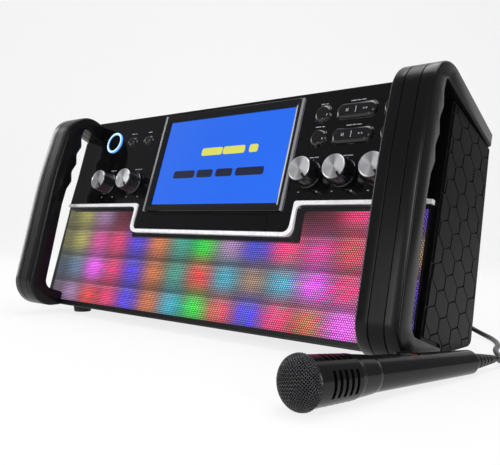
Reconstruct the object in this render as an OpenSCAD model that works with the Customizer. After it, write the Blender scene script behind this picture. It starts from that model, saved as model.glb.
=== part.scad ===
// Karaoke machine with a leaning front, a screen, a light grille, side handles, a disc tray and a microphone.
// The origin is on the floor in the middle of the machine and its microphone, X runs right and Y to the back.

/* [Cabinet] */
// Angle by which the front leans back
rake = 18; // [15:0.5:20]
// Width of the cabinet between its side covers
cabinet_w = 423; // [418:1:440]
// Height of the screen's centre over the underside of the cabinet, upright
base_drop = 145; // [141:0.5:150]
// Height of the rubber feet
foot_h = 8; // [6:0.5:12]
// Distance from the screen's centre up the front to its top edge
panel_top = 53.6; // [52.5:0.1:56]
// Depth of the cabinet's top, square to the front
top_depth = 66; // [62:1:76]
// Wall of the cabinet and the rear housing
wall = 3; // [2:0.25:4]
// Half width of the rear hump that holds the disc loader
hump_half = 118; // [100:1:120]

/* [Handles] */
// Width of each side handle
handle_w = 40; // [36:0.5:42]
// Reach of the handles in front of the control panel
handle_reach = 46; // [42:0.5:50]
// Thickness of the outer shell of each handle
outer_shell = 8; // [7:0.25:9]
// Thickness of the centre band of each handle
centre_band = 11.5; // [9:0.25:13]
// Distance between the finger bumps
bump_pitch = 19.7; // [17:0.1:21]

/* [Screen] */
// Width of the picture
screen_w = 154; // [148:0.5:156]
// Height of the picture
screen_h = 86; // [82:0.5:88]

/* [Controls] */
// Diameter of a knob's face
knob_d = 20.6; // [18:0.1:22]
// Height of a knob over the panel
knob_h = 17; // [14:0.5:20]
// Diameter of a control shaft
shaft_d = 6; // [5:0.1:6.5]
// Diameter of the power button's light ring
power_d = 23; // [20:0.5:25]
// Diameter of the small buttons beside it
small_d = 9; // [7:0.25:11]
// Diameter of the round buttons on the right
round_d = 15; // [13:0.25:16]
// Width of a rocker
rocker_w = 36; // [32:0.5:38]
// Height of a rocker
rocker_h = 13; // [11:0.25:14]
// Travel of a button
button_travel = 1.2; // [0.8:0.1:1.6]

/* [Grille] */
// Distance between the columns of lamps
lamp_pitch_x = 30.5; // [28:0.25:32]
// Distance between the rows of lamps
lamp_pitch_z = 28; // [26:0.25:29]
// Diameter of a speaker's cone
cone_d = 66; // [60:1:68]

/* [Disc tray] */
// Width of the tray
tray_w = 131; // [129:0.5:133]
// Diameter of the disc's recess
disc_recess_d = 121.5; // [121:0.1:122]
// Travel of the tray
tray_travel = 128; // [120:1:130]
// Width of the tray's front
fascia_w = 140; // [136:0.5:150]

/* [Microphone] */
// Diameter of the microphone's head
mic_head_d = 29; // [27:0.5:32]
// Length of the microphone without its strain relief
mic_len = 158; // [152:1:164]
// Diameter of the lead
lead_d = 4; // [3.9:0.05:4]

/* [Hidden] */
$fn = 48;
eps = 0.01;
// clearance round a moving piece, and between pieces that only meet
gap = 0.35;
fit_gap = 0.05;

// Heights on the front are measured up the leaning plane, from the screen's centre
screen_z = base_drop + foot_h;
body_half = cabinet_w / 2;
trim_v = -43.3;
trim_w = 3.2;
apron_half = 97;
apron_v = -69.5;
grille_lean = 3.4;
panel_t = 3;
grille_t = 1.2;
recess_depth = 12.5;
baffle_t = 3;
rear_lean = 5.5;
top_lean = 13;
housing_depth = 12;
outer_face = body_half + outer_shell;
handle_inner = outer_face - handle_w;

// Up the front at the cabinet's flat underside
function base_v(n) = (n * sin(rake) - base_drop) / cos(rake);
// Up the front at the cabinet's top
function top_v(n) = panel_top - 0.6 - n * tan(top_lean);
// A point of the grille's plane, from its depth and its height over the trim
function grille_point(n, v) =
    [n * cos(grille_lean) - v * sin(grille_lean), trim_v + v * cos(grille_lean) + n * sin(grille_lean)];
function grille_n(v) = (trim_v - v) * tan(grille_lean);
function rear_n(v) = top_depth + (top_v(top_depth) - v) * tan(rear_lean);
// A level point of the leaning frame, from world depth and height about the screen's centre
function leaning(y, z) = [y * cos(rake) - z * sin(rake), y * sin(rake) + z * cos(rake)];

function unit(v) = v / norm(v);
function turn(a, b, c) = let (u = unit(b - a), w = unit(c - b)) u.x * w.y - u.y * w.x;
function flat(p) = [p.x, p.y];

// Points of a round corner at b, of radius r
function corner_arc(a, b, c, r, steps) =
    let (
        u = unit(a - b),
        w = unit(c - b),
        half = acos(max(-1, min(1, u * w))) / 2,
        reach = min(r / tan(half), 0.48 * min(norm(a - b), norm(c - b))),
        radius = reach * tan(half),
        centre = b + unit(u + w) * reach / cos(half),
        start = b + u * reach - centre,
        first = atan2(start.y, start.x),
        sweep = (180 - 2 * half) * sign(turn(a, b, c))
    )
    [for (i = [0:steps]) centre + radius * [cos(first + sweep * i / steps), sin(first + sweep * i / steps)]];

// Outline from corners [x, y, radius, steps]
function rounded(corners) = [
    for (i = [0:len(corners) - 1])
        let (
            k = len(corners),
            b = corners[i],
            a = corners[(i + k - 1) % k],
            c = corners[(i + 1) % k]
        )
        each b[2] > 0 ? corner_arc(flat(a), flat(b), flat(c), b[2], b[3]) : [flat(b)]
];

// Corners of an outline drawn counter-clockwise, moved inwards
function inset(corners, d) = [
    for (i = [0:len(corners) - 1])
        let (
            k = len(corners),
            a = flat(corners[(i + k - 1) % k]),
            b = flat(corners[i]),
            c = flat(corners[(i + 1) % k]),
            u = unit(b - a),
            w = unit(c - b),
            normal_a = [-u.y, u.x],
            normal_b = [-w.y, w.x],
            p = b + d * (normal_a + normal_b) / (1 + normal_a * normal_b),
            r = corners[i][2] - d * sign(turn(a, b, c))
        )
        [p.x, p.y, max(r, 0.2), corners[i][3]]
];

function rectangle(w, h, r, steps = 4) =
    [[-w / 2, -h / 2, r, steps], [w / 2, -h / 2, r, steps], [w / 2, h / 2, r, steps], [-w / 2, h / 2, r, steps]];
function shifted(corners, x, y) = [for (c = corners) [c[0] + x, c[1] + y, c[2], c[3]]];

// Frames of the model: the floor under the middle of the screen, and the same at the screen's height
middle = [14.44, -8.92];
module on_floor() translate([-middle.x, -middle.y, 0]) children();
module mirrored() on_floor() mirror([1, 0, 0]) translate([middle.x, middle.y, 0]) children();
module level() on_floor() translate([0, 0, screen_z]) children();
module leaning_frame() level() rotate([-rake, 0, 0]) children();
module grille_frame() leaning_frame() translate([0, 0, trim_v]) rotate([grille_lean, 0, 0]) children();
module rear_frame() leaning_frame() translate([0, rear_n(0), 0]) rotate([rear_lean, 0, 0]) children();

// A front-view outline, thick from depth n0 to n1
module slab(n0, n1) translate([0, n1, 0]) rotate([90, 0, 0]) linear_extrude(n1 - n0) children();
// A side-view outline, from x0 to x1
module side_slab(x0, x1) translate([x0, 0, 0]) rotate([90, 0, 90]) linear_extrude(x1 - x0) children();
// A round bar along the depth
module bar(r, n0, n1, r2 = undef)
    translate([0, n1, 0]) rotate([90, 0, 0]) cylinder(r1 = r2 == undef ? r : r2, r2 = r, h = n1 - n0);
module at(u, v) translate([u, 0, v]) children();
module both_sides() { children(); mirror([1, 0, 0]) children(); }

// Triangles that fill an outline, cut off corner by corner
function corner_area(a, b, c) = (b.x - a.x) * (c.y - a.y) - (b.y - a.y) * (c.x - a.x);
function covers(a, b, c, p) = corner_area(a, b, p) >= 0 && corner_area(b, c, p) >= 0 && corner_area(c, a, p) >= 0;
function is_ear(p, left, i) =
    let (k = len(left), a = left[(i + k - 1) % k], b = left[i], c = left[(i + 1) % k])
    corner_area(p[a], p[b], p[c]) > 1e-6
        && len([for (j = left) if (j != a && j != b && j != c && covers(p[a], p[b], p[c], p[j])) j]) == 0;
function next_ear(p, left, i) = i >= len(left) - 1 || is_ear(p, left, i) ? i : next_ear(p, left, i + 1);
function filled(p, left, done) =
    len(left) == 3 ? concat(done, [left]) :
    let (i = next_ear(p, left, 0), k = len(left))
    filled(p, [for (j = [0:k - 1]) if (j != i) left[j]], concat(done, [[left[(i + k - 1) % k], left[i], left[(i + 1) % k]]]));

// A solid lofted through copies of one side-view outline: layers are [x, inset]
module side_loft(layers, corners) {
    loops = [for (layer = layers) rounded(inset(corners, layer[1]))];
    count = len(loops[0]);
    points = [for (k = [0:len(layers) - 1]) for (p = loops[k]) [layers[k][0], p.x, p.y]];
    last = (len(layers) - 1) * count;
    sides = [
        for (k = [0:len(layers) - 2])
            for (i = [0:count - 1])
                let (a = k * count + i, b = k * count + (i + 1) % count)
                each [[a, a + count, b + count], [a, b + count, b]]
    ];
    all = [for (i = [0:count - 1]) i];
    near = filled(loops[0], all, []);
    far = [for (t = filled(loops[len(layers) - 1], all, [])) [last + t[2], last + t[1], last + t[0]]];
    polyhedron(points, concat(near, far, sides));
}

// Cabinet

cabinet_n = panel_t + fit_gap;
grille_foot = grille_n(base_v(6.5));
cabinet_corners = [
    [grille_foot + grille_t + fit_gap, base_v(grille_foot + grille_t + fit_gap), 1, 2],
    [top_depth + 6, base_v(top_depth + 6), 1, 2],
    [top_depth + 6, top_v(top_depth + 6), 1, 2],
    [cabinet_n, top_v(cabinet_n), 1, 2],
    [cabinet_n, trim_v, 1, 2],
];
recess_back = recess_depth + baffle_t;
apron_edge = apron_half + trim_w / 2;

// Front view of the light grille, below the trim and round the apron, in the grille's own plane
function grille_corners(edge, margin) =
    let (
        top = -trim_w / 2 - margin,
        foot = (base_v(6.5) - trim_v) / cos(grille_lean) + edge,
        dip = (apron_v - trim_v) - trim_w / 2 - margin,
        half = body_half - edge
    )
    [
        [-half, foot, 1.5, 2], [half, foot, 1.5, 2], [half, top, 0.5, 2],
        [apron_edge + margin, top, 5, 4], [apron_edge + margin, dip, 8, 5],
        [-apron_edge - margin, dip, 8, 5], [-apron_edge - margin, top, 5, 4], [-half, top, 0.5, 2],
    ];

speaker_u = 150;
speaker_v = -54;
screw_r = 1.6;
side_screw_u = body_half - 13.5;
rear_screws_at = [
    [-side_screw_u, 28], [side_screw_u, 28], [-side_screw_u, -108], [-125, -116], [125, -116], [side_screw_u, -108],
];

// World height of the tray's front, about the screen's centre
fascia_low = -63;
fascia_high = -50.2;
loader_half = 74;
loader_back = 145;

module cabinet_cavity() {
    side_slab(-body_half + wall, body_half - wall) polygon([
        grille_point(recess_back, (base_v(6.5) - trim_v) + wall + 4),
        [grille_foot + recess_back + 6, base_v(grille_foot + recess_back + 6) + wall / cos(rake)],
        [rear_n(0) + 30, base_v(rear_n(0) + 30) + wall / cos(rake)],
        [rear_n(0) + 30, top_v(rear_n(0) + 30) - wall],
        [-1, top_v(-1) - wall],
        [-1, trim_v + 1],
        grille_point(recess_back, 1),
    ]);
}

module tray_opening() {
    clearance = 0.4;
    level() translate([-fascia_w / 2 - clearance, -40, fascia_low - clearance])
        cube([fascia_w + 2 * clearance, 60, fascia_high - fascia_low + 2 * clearance]);
}

module cabinet() {
    color([0.05, 0.05, 0.055])
    difference() {
        union() {
            difference() {
                leaning_frame() side_slab(-body_half, body_half) polygon(rounded(cabinet_corners));
                leaning_frame() cabinet_cavity();
                leaning_frame() slab(-1, 30) square([screen_w + 15, screen_h + 8], center = true);
                grille_frame() slab(-1, recess_depth) polygon(rounded(grille_corners(6, 3)));
            }
            // posts for the rear housing's screws, with webs to the walls
            rear_frame() for (p = rear_screws_at) {
                at(p.x, p.y) bar(4.5, -housing_depth - 18, -housing_depth + 1);
                slab(-housing_depth - 17, -housing_depth + 1)
                    if (abs(p.x) > 150) translate([min(p.x, sign(p.x) * (body_half - 1)), p.y - 1.2])
                        square([body_half - 1 - abs(p.x), 2.4]);
                    else translate([p.x - 1.2, p.y - 13]) square([2.4, 13]);
            }
        }
        grille_frame() both_sides() at(speaker_u, speaker_v)
            bar(cone_d / 2 + 1, recess_depth - 1, recess_back + 1);
        tray_opening();
        rear_frame() for (p = rear_screws_at) at(p.x, p.y) bar(screw_r, -housing_depth - 16, 2);
        // the rear housing starts here
        leaning_frame() side_slab(-body_half - 1, body_half + 1) polygon([
            [rear_n(60) - housing_depth, 60], [200, 60], [200, -200], [rear_n(-200) - housing_depth, -200],
        ]);
    }
}

function parting_n(v) = rear_n(v) - housing_depth;

// Rear housing

hump_back = 152;
hump_high = -30;
socket_v = -58;
socket_u = 128;
socket_pitch = 22;
socket_r = 6;
inlet_u = -160;
inlet_v = -70;
vent_pitch = 11;
vent_w = 4;
function housing_corners() =
    let (foot = parting_n(base_v(top_depth + 4)), low = rear_n(-124) - 4)
    [
        [foot + fit_gap, base_v(foot), 0, 0], [low, base_v(low), 1.5, 2], [rear_n(-124), -124, 4, 3],
        [rear_n(top_v(top_depth)), top_v(top_depth), 6, 4],
        [parting_n(top_v(top_depth - housing_depth)) + fit_gap, top_v(top_depth - housing_depth), 0, 0],
    ];
function hump_corners(d) =
    let (low = leaning(hump_back - d, d - base_drop), high = leaning(hump_back - 3 - d, hump_high - d))
    [
        [top_depth - 2, base_v(top_depth - 2) + d, 0, 0], [low.x, low.y, max(12 - d, 2), 4],
        [high.x, high.y, max(18 - d, 2), 5], [rear_n(24) - wall - 2, 24 - d, 0, 0],
    ];
module hump(d) {
    half = hump_half - d;
    intersection() {
        leaning_frame() side_slab(-half, half) polygon(rounded(hump_corners(d)));
        level() translate([0, 0, -base_drop - 1]) linear_extrude(base_drop + 60) polygon(rounded([
            [-half, 0, 0, 0], [half, 0, 0, 0], [half - 6, hump_back - d, max(16 - d, 2), 5],
            [6 - half, hump_back - d, max(16 - d, 2), 5],
        ]));
    }
}

module rear_housing() {
    front = parting_n(60) - 2;
    low = rear_n(-124) - 4 - wall;
    color([0.06, 0.06, 0.065])
    difference() {
        union() {
            leaning_frame() side_slab(-body_half, body_half) polygon(rounded(housing_corners()));
            difference() {
                hump(0);
                leaning_frame() side_slab(-body_half, body_half)
                    polygon([[-50, -300], [parting_n(-300), -300], [parting_n(100), 100], [-50, 100]]);
            }
        }
        leaning_frame() side_slab(-body_half + wall, body_half - wall) polygon([
            [front, base_v(front) + wall / cos(rake)], [low, base_v(low) + wall / cos(rake)],
            [rear_n(-120) - wall, -120], [rear_n(top_v(top_depth) - wall) - wall, top_v(top_depth) - wall],
            [front, top_v(front) - wall],
        ]);
        hump(wall);
        rear_frame() {
            for (p = rear_screws_at) at(p.x, p.y) {
                bar(screw_r + 0.2, -30, 2);
                bar(3.4, -1.2, 1);
            }
            for (i = [0, 1]) at(socket_u + i * socket_pitch, socket_v) bar(socket_r + 0.05, -wall - 6, 1);
            at(inlet_u, inlet_v) slab(-wall - 6, 1) polygon(rounded(rectangle(24.4, 15.4, 3)));
        }
        // air slots in the hump's back
        level() for (i = [-7:7]) translate([i * vent_pitch - vent_w / 2, hump_back - 14, -116]) cube([vent_w, 30, 38]);
    }
}

// Side covers with raised hexagons

cover_t = 3;
flare = 0.05;
hex_w = 18.8;
hex_side = 10;
hex_rise = 5;
hex_h = 1;
hex_groove = 1.3;
hex_shear = 0.19;
hex_first = [16.7, 32];
arm_top = -137;
arm_end = 30;
column_back = -27.5;
slot_top = 37.8;
rail_drop = 13.5;
rail_top = 57.5;
rail_rear = 35.5;
// The rail's lower and upper edges up the front, at a depth
function rail_low(n) = slot_top - rail_drop * (n - column_back) / (top_depth - column_back);
function rail_high(n) = rail_top - (rail_top - rail_rear) * (n + handle_reach) / (top_depth + handle_reach);
function cover_corners() = [
    [grille_n(arm_top) + 0.6, arm_top + 0.5, 2, 2], [arm_end + 0.5, arm_top + 0.5, 2, 2],
    [arm_end + 0.5, base_v(arm_end), 0.5, 2], [rear_n(-124) - 4.5, base_v(rear_n(-124) - 4.5), 2, 2],
    [rear_n(-124) - 0.4, -124, 4, 3], [rear_n(rail_low(top_depth)) - 0.4, rail_low(top_depth + 2) - 0.5, 1, 2],
    [0.6, rail_low(0) - 0.5, 2, 2],
];
// The rows fall towards the back, as the rail does
module hexagon() {
    w = hex_w / 2 - hex_groove / 2;
    half = hex_side / 2 - hex_groove / 4;
    slope = w * hex_shear;
    polygon([
        [-w, slope - half], [0, -half - hex_rise], [w, -half - slope],
        [w, half - slope], [0, half + hex_rise], [-w, half + slope],
    ]);
}
// The side grows wider to the back, until it meets the handle's face
module flared(d)
    translate([0, 0, -180]) linear_extrude(260) polygon([
        [body_half, -5], [body_half + d - 5 * flare, -5], [body_half + d + 110 * flare, 110], [body_half, 110],
    ]);
module side_cover() {
    color([0.07, 0.07, 0.075]) leaning_frame() {
        intersection() {
            side_slab(body_half, body_half + 12) polygon(rounded(cover_corners()));
            flared(cover_t);
        }
        intersection() {
            side_slab(body_half + 1, body_half + 12) intersection() {
                polygon(rounded(inset(cover_corners(), 2.2)));
                for (row = [0:12], col = [-1:3]) {
                    n = hex_first.x + hex_w * (col + (row % 2) / 2);
                    translate([n, hex_first.y - row * (hex_side + hex_rise) - hex_shear * n]) hexagon();
                }
            }
            flared(cover_t + hex_h);
        }
    }
}
module left_side_cover() mirrored() side_cover();
module right_side_cover() side_cover();

// Side handles: a column in front of the panel, a rail along the top and an arm along the floor

bump_out = 3.2;
top_bump_v = 16;
function handle_corners(ends) = concat(
    [[-36.5, base_v(-36.5), 34, 8]],
    ends[0],
    [[column_back + 7.5, arm_top, 9, 3], [column_back, -30 - bump_pitch, 25, 2]],
    [
        for (i = [2:-1:0]) each [
            [column_back, top_bump_v - (i + 0.5) * bump_pitch, 7, 2],
            [column_back + bump_out, top_bump_v - i * bump_pitch, 4, 2],
        ]
    ],
    [[column_back, top_bump_v + bump_pitch / 2, 6, 2], [column_back + 1, slot_top, 4, 2]],
    ends[1],
    [[0.5 - handle_reach, rail_top, 27, 8], [-handle_reach - 0.8, -25, 500, 3]]
);
function inner_ends() = [
    [[grille_n(base_v(6.5)), base_v(6.5), 0.5, 2], [grille_n(arm_top), arm_top, 3, 3]],
    [[0, rail_low(0), 0.5, 2], [0, rail_high(0), 0.5, 2]],
];
function outer_ends() = [
    [[arm_end, base_v(arm_end), 0.5, 2], [arm_end, arm_top, 2, 2]],
    [[top_depth + 0.4, rail_low(top_depth), 1.5, 2], [top_depth + 0.2, rail_rear, 2, 2]],
];
seam = 0.7;
inner_edge = handle_inner;
band_edge = body_half - centre_band;
module handle_inner_shell() color([0.045, 0.045, 0.05]) leaning_frame() side_loft(
    [[inner_edge, 5], [inner_edge + 1.2, 2.4], [inner_edge + 4, 0.7], [inner_edge + 9, 0],
        [band_edge - 0.8, 0], [band_edge, seam]],
    handle_corners(inner_ends()));
module handle_band() color([0.03, 0.03, 0.035]) leaning_frame() side_loft(
    [[band_edge, seam], [band_edge + 0.8, 0], [body_half - 0.8, 0], [body_half, seam]],
    handle_corners(inner_ends()));
module handle_outer_shell() color([0.06, 0.06, 0.065]) leaning_frame() side_loft(
    [[body_half, seam], [body_half + 0.8, 0], [outer_face - 1.2, 0], [outer_face - 0.3, 0.5], [outer_face, 1.3]],
    handle_corners(outer_ends()));
module left_handle_inner() mirrored() handle_inner_shell();
module left_handle_band() mirrored() handle_band();
module left_handle_outer() mirrored() handle_outer_shell();
module right_handle_inner() handle_inner_shell();
module right_handle_band() handle_band();
module right_handle_outer() handle_outer_shell();

// Feet

foot_r = 10;
feet_at = [[-180, -18], [180, -18], [-92, 132], [92, 132]];
module feet() color([0.1, 0.1, 0.1]) for (p = feet_at)
    on_floor() translate([p.x, p.y, 0]) cylinder(r1 = foot_r - 1.5, r2 = foot_r, h = foot_h);

// Control panel

bezel_edge = 5;
bezel_side = 5.4;
bezel_h = 2.6;
bezel_half = screen_w / 2 + bezel_side;
strip_w = 2.6;
screen_edge = bezel_half + strip_w;
knob_v = -20.3;
left_knobs = [-screen_edge - 65, -screen_edge - 25];
right_pitch = 31.5;
right_first = screen_edge + 20;
right_knobs = [for (i = [0:2]) right_first + i * right_pitch];
knobs_at = concat(left_knobs, right_knobs);
power_at = [-screen_edge - 76, 27.7];
small_at = [[-screen_edge - 47, 27.3], [-screen_edge - 22, 27.3]];
upper_v = 33.5;
lower_v = 12.3;
round_at = [
    [right_first, upper_v], [right_first, lower_v],
    [right_first + 2 * right_pitch, upper_v], [right_first + 2 * right_pitch, lower_v],
];
rocker_u = right_first + right_pitch;
board_n = 9;
board_t = 1.6;
ring_r = knob_d / 2 + 2.4;
ring_h = 1.4;
window_lip = 2;
left_posts = [
    [-screen_edge - 87, 6], [-screen_edge - 87, -32], [-screen_edge - 7, 38], [-screen_edge - 7, -32],
];
right_posts = [
    [screen_edge + 9, 41], [screen_edge + 9, -34], [screen_edge + 95, 41], [screen_edge + 95, -34],
];

function panel_corners() =
    let (low = trim_v + trim_w / 2, dip = apron_v + trim_w / 2, half = apron_half - trim_w / 2)
    [
        [-body_half, low, 0, 0], [-half, low, 2, 2], [-half, dip, 6, 4], [half, dip, 6, 4], [half, low, 2, 2],
        [body_half, low, 0, 0], [body_half, panel_top, 1.5, 2], [-body_half, panel_top, 1.5, 2],
    ];
module control_panel() color([0.02, 0.02, 0.022]) {
    difference() {
        leaning_frame() union() {
            slab(0, panel_t) polygon(rounded(panel_corners()));
            for (u = knobs_at) at(u, knob_v) bar(ring_r, -ring_h, eps, ring_r + 0.3);
            for (p = concat(left_posts, right_posts)) at(p.x, p.y) bar(2.6, panel_t - eps, board_n);
        }
        leaning_frame() {
            slab(-1, panel_t + 1) polygon(rounded(rectangle(screen_w + 2 * bezel_edge, screen_h + 2 * bezel_edge, 2)));
            for (u = knobs_at) at(u, knob_v) bar(shaft_d / 2 + 0.6, -3, panel_t + 1);
            at(power_at.x, power_at.y) bar(power_d / 2 + fit_gap, -1, panel_t + 1);
            for (p = small_at) at(p.x, p.y) bar(small_d / 2 + gap, -1, panel_t + 1);
            for (p = round_at) at(p.x, p.y) bar(round_d / 2 + gap, -1, panel_t + 1);
            for (v = [upper_v, lower_v]) at(rocker_u, v) slab(-1, panel_t + 1) rocker_outline(gap + 0.1);
        }
        tray_opening();
    }
}

module chrome_trim() {
    low = trim_v - trim_w / 2;
    high = trim_v + trim_w / 2;
    outer = apron_half + trim_w / 2;
    inner = apron_half - trim_w / 2;
    color([0.85, 0.86, 0.88]) leaning_frame() slab(-1.5, panel_t) polygon(rounded([
        [-body_half, low, 0, 0], [-outer, low, 5, 4], [-outer, apron_v - trim_w / 2, 8, 5],
        [outer, apron_v - trim_w / 2, 8, 5], [outer, low, 5, 4], [body_half, low, 0, 0],
        [body_half, high, 0, 0], [inner, high, 2, 2], [inner, apron_v + trim_w / 2, 6, 4],
        [-inner, apron_v + trim_w / 2, 6, 4], [-inner, high, 2, 2], [-body_half, high, 0, 0],
    ]));
}

// Screen

bezel_low = -screen_h / 2 - 7.2;
bezel_high = screen_h / 2 + 6.6;
window_n = -0.8;
window_t = 1.6;
module screen_bezel() color([0.03, 0.03, 0.033]) leaning_frame() difference() {
    union() {
        translate([0, 0, (bezel_low + bezel_high) / 2])
            slab(-bezel_h, 0) polygon(rounded(rectangle(2 * bezel_half, bezel_high - bezel_low, 2)));
        slab(-eps, panel_t) polygon(rounded(rectangle(
            screen_w + 2 * (bezel_edge - fit_gap), screen_h + 2 * (bezel_edge - fit_gap), 2)));
    }
    slab(-bezel_h - 1, panel_t + 1) square([screen_w, screen_h], center = true);
    slab(window_n, panel_t + 1) square([screen_w + 2 * window_lip, screen_h + 2 * window_lip], center = true);
}
module screen_window() color([0.3, 0.4, 0.6]) leaning_frame() slab(window_n, window_n + window_t)
    square([screen_w + 2 * window_lip - 0.2, screen_h + 2 * window_lip - 0.2], center = true);
module lcd_panel() color([0.1, 0.35, 0.9]) leaning_frame() {
    slab(window_n + window_t, panel_t + eps)
        square([screen_w + 2 * window_lip - 0.4, screen_h + 2 * window_lip - 0.4], center = true);
    slab(panel_t, 8) square([screen_w + 14, screen_h + 7], center = true);
}
module screen_strip() color([0.8, 0.8, 0.82]) leaning_frame()
    translate([bezel_half + strip_w / 2, 0, (bezel_low + bezel_high) / 2])
        slab(-bezel_h + 0.4, 0) polygon(rounded(rectangle(strip_w, bezel_high - bezel_low, 0.8, 2)));
module left_screen_strip() mirrored() screen_strip();
module right_screen_strip() screen_strip();

// Light grille

function lamp_rows() = [-8, -8 - lamp_pitch_z, -8 - 2 * lamp_pitch_z, -8 - 3 * lamp_pitch_z];
lamp_n = 7.5;
module mesh_grille() color([0.35, 0.35, 0.4]) grille_frame() slab(0, grille_t) polygon(rounded(grille_corners(1.2, 0.2)));
module lamps_at() {
    for (row = lamp_rows(), i = [-6:6])
        if (row < -20 || abs(i) > 3) translate([i * lamp_pitch_x, 0, row]) children();
}
module led_board() color([0.1, 0.3, 0.15]) grille_frame() {
    difference() {
        slab(lamp_n, lamp_n + board_t) polygon(rounded(grille_corners(8, 3.2)));
        for (row = [0:2], i = [-6:5])
            if (row > 0 || i < -4 || i > 3)
                translate([(i + 0.5) * lamp_pitch_x, 0, lamp_rows()[row] - lamp_pitch_z / 2])
                    slab(lamp_n - 1, lamp_n + board_t + 1) square([lamp_pitch_x - 9, lamp_pitch_z - 8], center = true);
    }
    lamps_at() bar(2.5, lamp_n - 1.6, lamp_n + eps);
    for (i = [-6, -2, 2, 6]) translate([i * lamp_pitch_x, 0, lamp_rows()[3]])
        bar(2, lamp_n + board_t - eps, recess_depth);
}

// Speakers

module speaker(side) grille_frame() at(side * speaker_u, speaker_v) {
    color([0.15, 0.15, 0.16]) rotate([90, 0, 0]) rotate_extrude() polygon([
        [cone_d / 2 + 0.4, -recess_back], [cone_d / 2 + 6, -recess_back], [cone_d / 2 + 6, -recess_back - 2],
        [cone_d / 2 + 2, -recess_back - 2], [19, -recess_back - 17], [24, -recess_back - 17],
        [24, -recess_back - 28], [0, -recess_back - 28], [0, -recess_back - 17.5], [15, -recess_back - 17.5],
        [cone_d / 2 + 0.4, -recess_back - 1.2],
    ]);
}
module speaker_cone(side) grille_frame() at(side * speaker_u, speaker_v) {
    color([0.1, 0.1, 0.1]) rotate([90, 0, 0]) rotate_extrude() polygon([
        [cone_d / 2 + 0.4 - fit_gap, -recess_back], [cone_d / 2 - 3, -recess_back + 1.5], [cone_d / 2 - 5, -recess_back],
        [11, -recess_back - 13], [0, -recess_back - 9], [0, -recess_back - 15], [11, -recess_back - 15],
        [cone_d / 2 - 4, -recess_back - 1], [cone_d / 2 + 0.4 - fit_gap, -recess_back - 1],
    ]);
}
module left_speaker() speaker(-1);
module right_speaker() speaker(1);
module left_cone() speaker_cone(-1);
module right_cone() speaker_cone(1);

// Controls

switch_n = 5.9;
flange_n = 3.4;
stem_n = 4.4;
module board(corner, size) slab(board_n, board_n + board_t) translate(corner) square(size);
module control_shaft(u) at(u, knob_v) {
    bar(shaft_d / 2, 3 - knob_h + 0.6, board_n - 3);
    bar(8, panel_t + 1.5, board_n + eps);
}
module tact_switch(p) at(p.x, p.y) {
    slab(switch_n + 1, board_n + eps) square(6.2, center = true);
    bar(1.7, switch_n, switch_n + 1 + eps);
}
module left_control_board() color([0.1, 0.35, 0.2]) leaning_frame() {
    board([-screen_edge - 93, -38], [92, 82]);
    for (u = left_knobs) control_shaft(u);
    for (p = concat([power_at], small_at)) tact_switch(p);
}
rocker_axis_n = 6.4;
rocker_n = 4;
axle_r = 1.2;
module right_control_board() color([0.1, 0.35, 0.2]) leaning_frame() {
    board([screen_edge + 3, -40], [98, 86]);
    for (u = right_knobs) control_shaft(u);
    for (p = round_at) tact_switch(p);
    for (v = [upper_v, lower_v]) translate([rocker_u, rocker_axis_n, v]) {
        translate([0, 0, -5.5]) cylinder(r = axle_r, h = 11);
        for (s = [-1, 1]) translate([-1.8, -1.8, s > 0 ? 3.9 : -5.5]) cube([3.6, board_n - rocker_axis_n + 1.9, 1.6]);
    }
}

// The knob turns on the control's shaft, with the pointer at the lower right
knob_base = 1.9;
module knob(u) color([0.12, 0.12, 0.13]) leaning_frame() at(u, knob_v) rotate([90, 0, 0]) difference() {
    rotate_extrude() polygon([
        [shaft_d / 2 + fit_gap, knob_base], [knob_d / 2 + 1.3, knob_base], [knob_d / 2 + 1.3, knob_base + 1.6],
        [knob_d / 2 + 0.6, knob_base + 2.4], [knob_d / 2, knob_h - 1], [knob_d / 2 - 0.6, knob_h],
        [knob_d / 2 - 1.2, knob_h], [knob_d / 2 - 1.5, knob_h - 0.6], [0, knob_h - 0.6],
        [0, knob_h - 3], [shaft_d / 2 + fit_gap, knob_h - 3],
    ]);
    rotate([0, 0, -50]) translate([knob_d / 2 - 2.6, -0.9, knob_h - 1.2]) cube([4, 1.8, 3]);
}
module echo_knob() knob(left_knobs[0]);
module balance_knob() knob(left_knobs[1]);
module treble_knob() knob(right_knobs[0]);
module bass_knob() knob(right_knobs[1]);
module volume_knob() knob(right_knobs[2]);

power_wall = 2.3;
module power_ring() color([0.4, 0.7, 1]) leaning_frame() at(power_at.x, power_at.y) difference() {
    bar(power_d / 2, -1.8, panel_t);
    bar(power_d / 2 - power_wall, -3, panel_t + 1);
}
module power_button() color([0.03, 0.03, 0.035]) leaning_frame() at(power_at.x, power_at.y) {
    bar(power_d / 2 - power_wall - gap, -1.6, stem_n);
    bar(power_d / 2 - power_wall + 0.8, flange_n, stem_n);
}
module button(p, d, proud) color([0.03, 0.03, 0.035]) leaning_frame() at(p.x, p.y) {
    bar(d / 2, 0.4 - proud, stem_n);
    bar(d / 2 - 0.4, -proud, 0.4 - proud + eps);
    bar(d / 2 + 1.2, flange_n, stem_n);
}
module input_button() button(small_at[0], small_d, 1.8);
module lamp_button() button(small_at[1], small_d, 1.8);
module play_button() button(round_at[0], round_d, 2.2);
module record_button() button(round_at[1], round_d, 2.2);
module eject_button() button(round_at[2], round_d, 2.2);
module stop_button() button(round_at[3], round_d, 2.2);

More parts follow.
